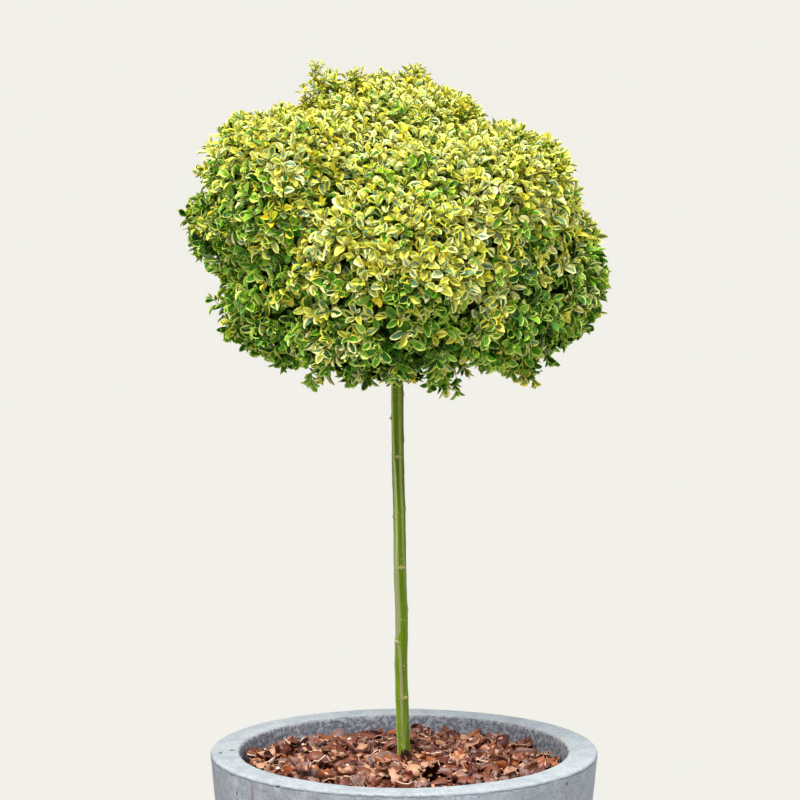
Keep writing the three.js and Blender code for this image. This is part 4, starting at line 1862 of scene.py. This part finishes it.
@dataclass
class FoliageHead:
    """The lobed head: every mass of leaves on its own branching.

    Pockets give a place across and up and a radius. Hangers and tufts give a place across and up.
    """

    rng: Rng
    boughs: Boughs
    prefix: str = "foliage_"
    greening: Greening = Greening()
    candidates: float = 60000.0
    seam: float = 2.5 * MM
    smoothing: float = 24 * MM
    own_normal: float = 0.35
    hollow_middle: Point = (-0.008, 0.0, 1.004)
    hollow_half: Point = (0.112, 0.112, 0.092)
    throat: float = 29 * MM
    throat_open: float = 0.945
    throat_top: float = 1.165
    stem_clear: float = 15 * MM
    proud: float = 0.6
    thin_pitch: float = 32.0
    thin_level: float = 0.13
    thin_crown: float = 0.6
    thin_rise: Numbers = (0.06, 0.26)
    leader_mass: str = "top"
    leader_reach: float = 17 * MM
    leader_cleared: float = 0.75
    leader_low: float = 1.19
    leader_drop: float = 30 * MM
    leader_heads: int = 3
    leader_lower: int = 5
    sprig_turn: Numbers = (-0.5, 0.5)
    sprig_reach: Numbers = (7.5 * MM, 7 * MM)
    sprig_spread: Numbers = (0.7, 1.2)
    sprig_drops: Rows = ((0, 5 * MM), (9 * MM, 28 * MM))
    sprig_splay: float = 16 * MM
    sprig_stray: float = 0.08
    sprig_vigour: float = 0.55
    outward: float = 0.9
    lit: float = 0.75
    lit_facing: Numbers = (-0.55, 0.35)
    drooped: float = 0.22
    drooped_facing: Numbers = (-0.8, -0.1)
    stray: float = 0.24
    crown_facing: float = 0.3
    pocket_drop: float = 15 * MM
    front: float = 0.03
    set_stray: float = 0.12
    hanging: tuple = (((0.0, 0.0),), (0.0, -0.25, -1.0), 0.6)
    standing: tuple = (
        ((0.0, 0.0), (-4.5 * MM, 6 * MM), (4.5 * MM, 7 * MM), (0.0, 12 * MM)),
        (0.0, 0.0, 1.0),
        0.55,
    )
    fine_share: float = 0.15
    fine_rise: Numbers = (1.05, 1.15)
    shoot_points: int = 6
    shoot_pulls: Numbers = (0.3, 0.42)
    limb_points: int = 5
    leaf_rise: Numbers = (0.84, 1.02, 1.12, 1.19, 1.24)
    leaf_long: Numbers = (18.2 * MM, 17.0 * MM, 15.2 * MM, 12.8 * MM, 11.6 * MM)
    long_spread: Numbers = (0.76, 1.22)
    long_vigour: Numbers = (0.45, 0.55)
    leaf_width: Numbers = (0.55, 0.75)
    gap_spread: Numbers = (0.85, 1.2)
    gap_stray: float = 0.6 * MM
    gap_limit: float = 0.96
    quarter_stray: float = 0.22
    pair_stray: float = 0.12
    open_stray: float = 11
    light_mix: Numbers = (0.8, 0.35, 0.45)
    droop: Numbers = (0.10, 0.42)
    droop_share: Numbers = (0.35, 0.65)
    droop_below: float = 0.06
    to_light: float = 0.16
    face_light: float = 0.85
    face_stray: float = 0.26
    recurve: Numbers = (0.50, 0.28)
    young_curve: float = 0.65
    fold: Numbers = (20, 8)
    young_fold: float = 16
    twist: float = 0.22
    mixed: float = 0.12
    half_leaf: float = 0.5
    margin_spread: Numbers = (0.65, 1.35)
    old_pair: int = 2
    old_odds: Numbers = (0.12, 0.88)
    old_greener: Numbers = (0.6, 1.5)
    # Old leaves' centres: dark tones where the head is shaded, painted shade, and lighter olive tones where
    # it is lit, painted light.
    old_shaded_centres: str = "DEEP SHADE LEAF"
    old_sunlit: str = "MOSS OLIVE MOSS"
    sunless: float = 1.6
    first_centre: float = 0.6
    dry_spot: Point = (0.050, -0.205, 0.905)
    dry_reach: float = 17 * MM
    dry_odds: float = 0.5
    twig: float = 0.42 * MM
    twig_sides: Numbers = (4, 5)
    pockets: Rows = (
        (-0.237, 1.095, 0.012), (-0.238, 0.997, 0.013), (-0.227, 0.942, 0.013), (0.104, 1.178, 0.012),
        (0.208, 1.108, 0.011), (-0.124, 0.876, 0.012), (-0.057, 0.851, 0.010), (0.013, 0.858, 0.016),
        (0.101, 0.866, 0.018), (0.142, 0.858, 0.016), (-0.242, 1.135, 0.012), (-0.227, 1.163, 0.010),
        (-0.081, 1.240, 0.010),
    )
    hangers: Rows = (
        (0.034, 0.868), (0.049, 0.866), (0.063, 0.863), (0.124, 0.880), (0.153, 0.872), (-0.110, 0.873),
    )
    tufts: Rows = (
        (0.018, 1.240), (0.045, 1.208), (0.055, 1.209), (0.070, 1.198), (0.079, 1.200), (0.120, 1.168),
        (0.130, 1.166), (0.140, 1.165), (0.177, 1.143), (0.187, 1.138), (0.195, 1.108), (-0.059, 1.235),
        (-0.027, 1.234), (-0.171, 1.184), (-0.205, 1.176),
    )

    def __post_init__(self) -> None:
        """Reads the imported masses."""
        self.masses = sorted(n.removeprefix(self.prefix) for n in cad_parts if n.startswith(self.prefix))
        self.solid: dict[str, tuple[Array, Array]] = {}
        self.tree: dict[str, BVHTree] = {}
        for mass in self.masses:
            points = packed_corners(self.prefix + mass)
            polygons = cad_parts[self.prefix + mass].data.polygons
            tris = np.array([tuple(p.vertices) for p in polygons])
            self.solid[mass] = (points, tris)
            self.tree[mass] = BVHTree.FromPolygons(points.tolist(), tris.tolist())
        every = np.concatenate([points for points, _ in self.solid.values()])
        self.low, self.high = every.min(0), every.max(0)
        self.centre = (self.low + self.high) / 2

    # -------- where shoots end

    def skin(self, mass: str) -> tuple[Array, Array]:
        """Scatters points over the outer side of one mass.

        Args:
            mass: The mass.

        Returns:
            Points and face normals.
        """
        points, tris = self.solid[mass]
        a, b, c = (points[tris[:, i]] for i in range(3))
        cross = np.cross(b - a, c - a)
        area = np.linalg.norm(cross, axis=1) / 2
        count = int(area.sum() * self.candidates)
        face = self.rng.choice(len(tris), count, p=area / area.sum())
        u, v = self.rng.random((2, count, 1))
        swap = u + v > 1
        u, v = np.where(swap, 1 - u, u), np.where(swap, 1 - v, v)
        spots = a[face] + (b - a)[face] * u + (c - a)[face] * v
        keep = self.outside(mass, spots)
        return spots[keep], unit(cross[face])[keep]

    def outside(self, mass: str, spots: Array) -> Array:
        """Tells which points lie on the head's outer side.

        Args:
            mass: The mass they lie on.
            spots: The points.

        Returns:
            True for each outer point.
        """
        away = (spots - self.hollow_middle) / self.hollow_half
        inner = np.linalg.norm(away, axis=1) < 1
        from_stem, height = off_axis(spots, *self.hollow_middle[:2]), spots[:, 2]
        inner |= (from_stem < self.throat) & (height > self.throat_open) & (height < self.throat_top)
        keep = ~inner
        for other in self.masses:
            if other == mass:
                continue
            low = self.solid[other][0].min(0) - self.seam
            high = self.solid[other][0].max(0) + self.seam
            near = keep & np.all((spots > low) & (spots < high), axis=1)
            for i in np.flatnonzero(near):
                keep[i] = self.tree[other].find_nearest(Vector(spots[i]), self.seam)[0] is None
        return keep

    def spots(self, cell: float) -> tuple[Array, Array, Array]:
        """Chooses where the shoots end, evenly spaced.

        Args:
            cell: The spacing.

        Returns:
            Points, smoothed normals and the number of the mass of each.
        """
        parts = [self.skin(mass) for mass in self.masses]
        points, normals = (np.concatenate(part) for part in zip(*parts))
        owner = np.repeat(np.arange(len(parts)), [len(p) for p, _ in parts])
        taken: dict[Point, list[Array]] = {}
        chosen = []
        for i in self.rng.permutation(len(points)):
            point = points[i]
            x, y, z = (point // cell).astype(int)
            round_it = product((x - 1, x, x + 1), (y - 1, y, y + 1), (z - 1, z, z + 1))
            near = (other for key in round_it for other in taken.get(key, ()))
            room = cell * (1 - self.fine_share * float(smooth_share(point[2], *self.fine_rise)))
            if all(np.dot(point - other, point - other) > room * room for other in near):
                taken.setdefault((x, y, z), []).append(point)
                chosen.append(i)
        tree = KDTree(len(points))
        for i, point in enumerate(points):
            tree.insert(point, i)
        tree.balance()
        smoothed = []
        for i in chosen:
            near = [j for _, j, _ in tree.find_range(Vector(points[i]), self.smoothing)]
            smoothed.append(normals[near].mean(0) + self.own_normal * normals[i])
        return points[chosen], unit(np.array(smoothed)), owner[chosen]

    def leaders(self) -> Array:
        """Finds the sprig tips that stand proud of the head's top.

        Returns:
            Their points.
        """
        points = distinct(self.solid[self.leader_mass][0])
        high = points[points[:, 2] > self.leader_low]
        peaks = []
        for point in high:
            flat = off_axis(high, *point[:2])
            near = high[(flat < self.leader_reach) & (flat > 0)]
            if len(near) and point[2] > near[:, 2].max():
                peaks.append(point)
        return np.array(peaks)

    def headings(self, normals: Array) -> Array:
        """Chooses which way each shoot points.

        Args:
            normals: The head's normals there.

        Returns:
            Directions: outwards, turned up to the light on the crown and drooping beneath it.
        """
        facing = normals[:, 2:3]
        droop = self.drooped * (1 - smooth_share(facing, *self.drooped_facing))
        lift = self.lit * smooth_share(facing, *self.lit_facing) - droop
        return unit(normals * self.outward + UP * lift + self.rng.normal(0, self.stray, normals.shape))

    def opened(self, points: Array, normals: Array, peaks: Array) -> tuple[Array, Array]:
        """Opens the outer layer under the sprigs, in the pockets and where the head is thin.

        Args:
            points: Where the shoots may end.
            normals: The head's normals there.
            peaks: The sprig tips.

        Returns:
            Which shoots stay, and which lie in a pocket.
        """
        keep, sunk = np.ones(len(points), bool), np.zeros(len(points), bool)
        for peak in peaks:
            far = off_axis(points, *peak[:2]) > self.leader_cleared * self.leader_reach
            keep &= far | (points[:, 2] < peak[2] - self.leader_drop)
        for x, z, radius in self.pockets:
            sunk |= off_axis(points, x, z, (0, 2)) < radius
        keep &= ~sunk | (normals[:, 2] > self.crown_facing)
        gaps = np.array([noise.noise(Vector(p) * self.thin_pitch) for p in points])
        low = 1 - smooth_share(points[:, 2], *(self.low[2] + rise for rise in self.thin_rise))
        return keep & (gaps < self.thin_level + self.thin_crown * (1 - low)), sunk

    def shoots(self, layer: Layer) -> dict[str, Shoots]:
        """Places every shoot of a layer.

        Args:
            layer: The layer.

        Returns:
            The shoots of each mass.
        """
        points, normals, owner = self.spots(layer.spacing)
        outermost = layer is OUTER_LAYER
        from_stem = off_axis(points, *self.hollow_middle[:2])
        keep = (from_stem > self.stem_clear) | (points[:, 2] > self.throat_top)
        peaks, sunk = self.leaders(), np.zeros(len(points), bool)
        if outermost:
            stays, sunk = self.opened(points, normals, peaks)
            keep &= stays
        points, normals, owner, sunk = points[keep], normals[keep], owner[keep], sunk[keep]
        headings = self.headings(normals)
        depth = self.rng.normal(*layer.inset, (len(points), 1))
        if outermost:
            depth = depth * (1 - self.proud * normals[:, 2:3].clip(0, 1))
        tips = points - normals * (depth + self.pocket_drop * sunk[:, None])
        parts = [tips, normals, headings, np.ones(len(tips))]
        sets = ((self.hangers, *self.hanging), (self.tufts, *self.standing))
        for spots, group, way, strength in sets if outermost else ():
            more, more_owner = self.clear_of_outline(spots, group)
            ways = unit(np.array([way]) + self.rng.normal(0, self.set_stray, more.shape))
            extra = (more, ways, ways, np.full(len(more), strength))
            parts = [np.concatenate(pair) for pair in zip(parts, extra)]
            owner = np.concatenate([owner, more_owner])
        groups = {}
        for i, mass in enumerate(self.masses):
            mine = [part[owner == i] for part in parts]
            if mass == self.leader_mass and outermost:
                mine = [np.concatenate(pair) for pair in zip(mine, self.sprigs(peaks))]
            groups[mass] = Shoots(*mine)
        return groups

    def clear_of_outline(self, spots: Rows, group: Rows) -> tuple[Array, Array]:
        """Sets the shoots that stand or hang clear of the head's outline.

        Args:
            spots: Where they end, across and up.
            group: Each shoot's shift across and its drop.

        Returns:
            Their tips and the number of the mass of each.
        """
        tips, owners = [], []
        for x, z in spots:
            found = []
            for i, mass in enumerate(self.masses):
                points = self.solid[mass][0]
                away = off_axis(points, x, z, (0, 2)) + (points[:, 1] > self.front)
                near = int(away.argmin())
                found.append((away[near], i, points[near, 1]))
            _, owner, deep = min(found)
            for shift, drop in group:
                tips.append((x + shift, deep, z - drop))
                owners.append(owner)
        return np.array(tips), np.array(owners)

    def sprigs(self, peaks: Array) -> list[Array]:
        """Sets a tuft of upright shoots at each sprig's tip.

        Args:
            peaks: The sprig tips.

        Returns:
            Tips, normals, headings and vigour.
        """
        rng = self.rng
        tips, headings = [], []
        for peak in peaks:
            start = rng.uniform(*self.sprig_turn)
            for k in range(self.leader_heads + self.leader_lower):
                lower = int(k >= self.leader_heads)
                bearing = start + k * TAU / self.leader_heads
                out = self.sprig_reach[lower] * rng.uniform(*self.sprig_spread)
                drop = rng.uniform(*self.sprig_drops[lower])
                shift = np.array([math.cos(bearing) * out, math.sin(bearing) * out, 0.0])
                tips.append(peak + shift - UP * drop)
                headings.append(UP + shift / self.sprig_splay + rng.normal(0, self.sprig_stray, 3))
        count = len(tips)
        vigour = np.full(count, self.sprig_vigour)
        return [np.array(tips), np.tile(UP, (count, 1)), unit(np.array(headings)), vigour]

    # -------- leaves

    def feet(self, layer: Layer, shoots: Shoots, paths: Array, length: Array) -> tuple[Array, Array]:
        """Finds where each pair of leaves sits on its shoot.

        Args:
            layer: The layer.
            shoots: The shoots.
            paths: Their paths.
            length: Their lengths.

        Returns:
            The places and the headings there, (shoots, pairs, 3).
        """
        rng, count, pairs = self.rng, len(shoots.tips), len(layer.gaps)
        spread = rng.uniform(*self.gap_spread, (count, 1))
        reach = np.array(layer.gaps)[None] * spread * shoots.vigour[:, None]
        reach = reach + rng.normal(0, self.gap_stray, reach.shape).clip(0)
        reach = np.minimum(reach, length * self.gap_limit)
        steps = np.linalg.norm(np.diff(paths, axis=1), axis=2)
        walked = np.concatenate([np.zeros((count, 1)), np.cumsum(steps[:, ::-1], 1)], 1)
        back = paths[:, ::-1]
        spots, along = np.empty((2, count, pairs, 3))
        for i in range(count):
            for axis in range(3):
                spots[i, :, axis] = np.interp(reach[i], walked[i], back[i, :, axis])
            nearest = np.clip(np.searchsorted(walked[i], reach[i], "right") - 1, 0, len(steps[i]) - 1)
            along[i] = back[i, nearest] - back[i, nearest + 1]
        return spots, unit(along)

    def draws(self, layer: Layer, shoots: Shoots, feet: Array, pulls: Array) -> tuple:
        """Draws every leaf of a layer in one mass.

        Args:
            layer: The layer.
            shoots: The shoots.
            feet: Where each shoot starts.
            pulls: The heading at each foot.

        Returns:
            The leaves, their pair numbers, their shoots' numbers and the shoots' paths.
        """
        rng = self.rng
        shape = count, pairs = len(shoots.tips), len(layer.gaps)
        length = np.linalg.norm(shoots.tips - feet, axis=1, keepdims=True)
        out, into = self.shoot_pulls
        ends = (feet, pulls * length * out, shoots.tips, shoots.headings * length * into)
        paths = bent(*ends, self.shoot_points)
        spots, along = self.feet(layer, shoots, paths, length)
        rise = smooth_share(shoots.tips[:, 2], self.low[2], self.high[2] - self.droop_below)
        size = np.interp(shoots.tips[:, 2], self.leaf_rise, self.leaf_long)[:, None]
        first = unit(np.cross(along, unit(rng.normal(0, 1, (count, 1, 3)))))
        second = np.cross(along, first)
        quarter = np.arange(pairs)[None] * (math.pi / 2) + rng.normal(0, self.quarter_stray, shape)
        sideways = unit((shoots.tips - self.centre) * (1.0, 1.0, 0.0) + 1e-6)
        normal, up, side_on = self.light_mix
        light = unit(shoots.normals * normal + UP * up + sideways * side_on)[:, None]
        droop = between(self.droop, 1 - rise)[:, None, None]
        late = between(self.droop_share, np.arange(pairs) / (pairs - 1))[None, :, None]
        young = 1 - np.clip(np.arange(pairs) / 2, 0, 1)[None]
        batches = []
        for side in (0, 1):
            turn = (quarter + side * math.pi + rng.normal(0, self.pair_stray, shape))[..., None]
            radial = first * np.cos(turn) + second * np.sin(turn)
            opened = np.array(layer.opened)[None] + rng.normal(0, self.open_stray, shape)
            opened = np.radians(opened)[..., None]
            axis = unit(along * np.cos(opened) + radial * np.sin(opened))
            axis = unit(axis - UP * droop * late + light * self.to_light)
            upper = along - axis * np.sum(along * axis, -1, keepdims=True)
            lit = light - axis * np.sum(light * axis, -1, keepdims=True)
            upper = unit(upper) + self.face_light * lit
            upper = upper + rng.normal(0, self.face_stray, upper.shape)
            upper = unit(upper - axis * np.sum(upper * axis, -1, keepdims=True))
            long = size * np.array(layer.sizes)[None] * rng.uniform(*self.long_spread, shape)
            long = long * between(self.long_vigour, shoots.vigour[:, None])
            wide = long * rng.uniform(*self.leaf_width, shape)
            recurve = rng.normal(*self.recurve, shape) - self.young_curve * young
            fold = np.radians(rng.normal(*self.fold, shape) + self.young_fold * young)
            twist = rng.normal(0, self.twist, shape)
            batches.append((spots, axis, upper, long, wide, recurve, fold, twist, np.zeros(shape)))
        parts = [np.concatenate(pair) for pair in zip(*batches)]
        leaves = LeafDraws(*(p.reshape(-1, *p.shape[2:]) for p in parts))
        pair = np.tile(np.arange(pairs), 2 * count)
        shoot = np.tile(np.repeat(np.arange(count), pairs), 2)
        return leaves, pair, shoot, paths

    def deal(self, layer: Layer, shoots: Shoots, pair: Array, shoot: Array, base: Array) -> tuple:
        """Deals each leaf its tones and its margin.

        Args:
            layer: The layer.
            shoots: The shoots.
            pair: Each leaf's pair number.
            shoot: Each leaf's shoot.
            base: Each leaf's foot.

        Returns:
            The margin tone, two centre tones and the margin's share.
        """
        rng, count = self.rng, len(shoot)
        rise = (shoots.tips[:, 2] - self.low[2]) / (self.high[2] - self.low[2])
        green = np.clip(self.greening.at(shoots.tips, shoots.normals, rise) + layer.greener_and_painted_shade, 0, 1)
        odds = SprayOdds().at(green)
        green = green[shoot]
        kinds = [kind.value for kind in SprayKind]
        kind = (rng.random((len(odds), 1)) > np.cumsum(odds, 1)).sum(1).clip(0, len(kinds) - 1)
        mine = kind[shoot]
        mixed = rng.random(count) < self.mixed
        mine = np.where(mixed, rng.permutation(mine), mine)

        def pick(part: str) -> Array:
            """Draws one tone for each leaf from its spray's margins or centres."""
            rows = [slots_of(LeafTone, getattr(spray, part)) for spray in kinds]
            lengths = np.array([len(row) for row in rows])
            starts = np.cumsum(lengths) - lengths
            return np.concatenate(rows)[starts[mine] + (rng.random(count) * lengths[mine]).astype(int)]

        def any_of(names: str) -> Array:
            """Draws one of the named tones for each leaf."""
            return rng.choice(slots_of(LeafTone, names), count)

        margin, first = pick("margins"), pick("centres")
        second = np.where(rng.random(count) < self.half_leaf, first, pick("centres"))
        width = np.array([spray.margin for spray in kinds])[mine] * rng.uniform(*self.margin_spread, count)
        # Older leaves are more green, as on the plant; where the head is shaded and in the shade layer their
        # tones are darker, painted shade, and where lit lighter, painted light.
        old = (pair > self.old_pair) & (rng.random(count) < between(self.old_odds, green))
        old |= rng.random(count) < layer.greener_and_painted_shade * between(self.old_greener, green)
        lit = rng.random(count) > self.sunless * green
        old_tone = np.where(lit, any_of(self.old_sunlit), any_of(self.old_shaded_centres))
        margin = np.where(old, any_of(layer.old_margins), margin)
        first, second = (np.where(old, old_tone, tone) for tone in (first, second))
        dry = np.linalg.norm(base - self.dry_spot, axis=1) < self.dry_reach
        dry &= rng.random(count) < self.dry_odds
        dried = slots_of(LeafTone, "DRY")
        return (*(np.where(dry, dried, tone) for tone in (margin, first, second)), width)

    def leaf_slots(self, zones: Array, count: int, dealt: Array) -> Array:
        """Turns face zones into material slots.

        Args:
            zones: The zone of each face.
            count: Zones of the leaf pattern.
            dealt: Margin, first and second centre tones, (3, leaves).

        Returns:
            Slots, (leaves, faces).
        """
        margin, first, second = dealt
        table = [np.full(len(margin), slots_of(LeafTone, "STALK")[0]), margin, margin]
        while len(table) < count:
            table.append(np.where(self.rng.random(len(margin)) < self.first_centre, first, second))
        return np.stack(table, -1)[:, zones]

    def build(self) -> None:
        """Makes the leaves and twigs of every mass."""
        dress = plain_tones("leaf", LeafTone)
        barks = [PlainFinish("twig_green", "#7d8f3a", 0.55), PlainFinish("twig_brown", "#7a6442", 0.70)]
        barks = [bark.material() for bark in barks]
        layers = [(layer, self.shoots(layer)) for layer in (OUTER_LAYER, SHADE_LAYER)]
        for mass in self.masses:
            leafage, wood = Joined(), Joined()
            for layer, groups in layers:
                shoots = groups[mass]
                limbs = Limbs(shoots, self.rng, layer.keep)
                limbs.grow(np.arange(len(shoots.tips)), *self.boughs.entry(mass))
                ends = [limbs.feet[i] for i in range(len(shoots.tips))]
                feet, pulls = (np.array(part) for part in zip(*ends))
                leaves, pair, shoot, paths = self.draws(layer, shoots, feet, pulls)
                *tones, leaves.margin = self.deal(layer, shoots, pair, shoot, leaves.base)
                fine = np.isin(pair, layer.fine)
                for chosen, pattern in ((fine, FULL_LEAF), (~fine, BACK_LEAF)):
                    if not chosen.any():
                        continue
                    points = pattern.points(leaves.pick(chosen), self.rng)
                    tris, tri_zones, quads, quad_zones = pattern.faces()
                    dealt = np.array(tones)[:, chosen]
                    table = [self.leaf_slots(z, pattern.zones, dealt) for z in (tri_zones, quad_zones)]
                    leafage.add(points, [tris, quads], table)
                self.twigs(wood, limbs, paths)
            piece(leafage.mesh(f"leaves_{mass}"), dress, self.prefix + mass)
            piece(wood.mesh(f"twigs_{mass}"), barks, self.prefix + mass)

    def twigs(self, wood: Joined, limbs: Limbs, paths: Array) -> None:
        """Adds the shoots and limbs of one layer.

        Args:
            wood: Where they are gathered.
            limbs: The branching.
            paths: The shoots' paths.
        """
        share = np.linspace(1, 0, self.shoot_points)[None]
        radii = np.broadcast_to(self.twig + self.twig * share, paths.shape[:2])
        batches = ((paths, radii), limbs.paths(self.limb_points))
        for slot, (batch, sides) in enumerate(zip(batches, self.twig_sides)):
            points, walls, ends = tubes(*batch, sides)
            wood.add(points, [walls, ends], [np.full((1, 1), slot)] * 2)


# ---------------- studio


@dataclass(frozen=True)
class Lamp:
    """Soft far lamp: its name, the way to it, its strength, softness in degrees and colour."""

    name: str
    source: Point
    strength: float
    softness: float
    chart: str

    def hang(self) -> None:
        """Hangs the lamp."""
        data = bpy.data.lights.new(self.name, "SUN")
        data.energy = self.strength
        data.angle = math.radians(self.softness)
        data.color = linear(self.chart)[:3]
        obj = bpy.data.objects.new(self.name, data)
        obj.rotation_euler = Vector(self.source).to_track_quat("Z", "Y").to_euler()
        bpy.context.scene.collection.objects.link(obj)


@dataclass
class Studio:
    """Pale floor, soft light and the camera."""

    floor_half: float = 90.0
    floor_finish: PlainFinish = PlainFinish("studio_floor", "#b0aea8", 0.9, 0.2)
    sky_chart: str = "#eef2f8"
    sky: float = 0.36
    lamps: tuple[Lamp, ...] = (
        Lamp("key_sun", (-0.50, -0.72, 1.30), 3.8, 34.0, "#fffdf8"),
        Lamp("top_sun", (0.18, -0.24, 1.0), 2.4, 60.0, "#eef2f8"),
        Lamp("fill_sun", (0.85, -0.25, 0.55), 0.8, 80.0, "#eef2f8"),
    )
    eye: Point = (-0.0049, -5.419, 1.625)
    look_down: float = 8.3
    lens: float = 202.5
    film: float = 36.0
    clip_end: float = 300.0

    def floor(self) -> None:
        """Lays the plain pale floor."""
        bm = bmesh.new()
        bmesh.ops.create_grid(bm, x_segments=1, y_segments=1, size=self.floor_half)
        object_from(mesh_from("studio_floor", bm), [self.floor_finish.material()])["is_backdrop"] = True

    def light(self) -> None:
        """Lights the scene as an open white studio."""
        world = bpy.data.worlds.new("studio_sky")
        bpy.context.scene.world = world
        world.use_nodes = True
        back = world.node_tree.nodes["Background"]
        back.inputs["Color"].default_value = linear(self.sky_chart)
        back.inputs["Strength"].default_value = self.sky
        for lamp in self.lamps:
            lamp.hang()

    def camera(self) -> None:
        """Sets the camera at its height, looking a little down."""
        data = bpy.data.cameras.new("front_camera")
        data.lens = self.lens
        data.sensor_width = self.film
        data.clip_end = self.clip_end
        obj = bpy.data.objects.new("front_camera", data)
        obj.location = self.eye
        obj.rotation_euler = (math.radians(90 - self.look_down), 0.0, 0.0)
        bpy.context.scene.collection.objects.link(obj)
        bpy.context.scene.camera = obj

    def build(self) -> None:
        """Sets up the studio."""
        self.camera()
        self.floor()
        self.light()
        bpy.context.scene.view_settings.view_transform = "Standard"


def write_sizes() -> None:
    """Gathers the CAD box and the visual model's box as plain lists; nothing is written."""
    boxes = {"cad": CAD_BOX, "visual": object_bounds()}
    plain = {name: [list(corner) for corner in box] for name, box in boxes.items()}


def main() -> None:
    """Builds every sub-assembly in order."""
    logging.basicConfig(level=logging.INFO, format="%(name)s: %(message)s")
    effects = Effects()
    Studio().build()
    planter = Planter(effects)
    planter.build()
    HuskMulch(effects, planter.mouth - 2 * MM, np.random.default_rng(11)).build()
    stem = Stem(effects)
    stem.build()
    boughs = Boughs(effects, stem.line()[0])
    boughs.build()
    FoliageHead(np.random.default_rng(7), boughs).build()


if __name__ == "__main__":
    main()
    write_sizes()
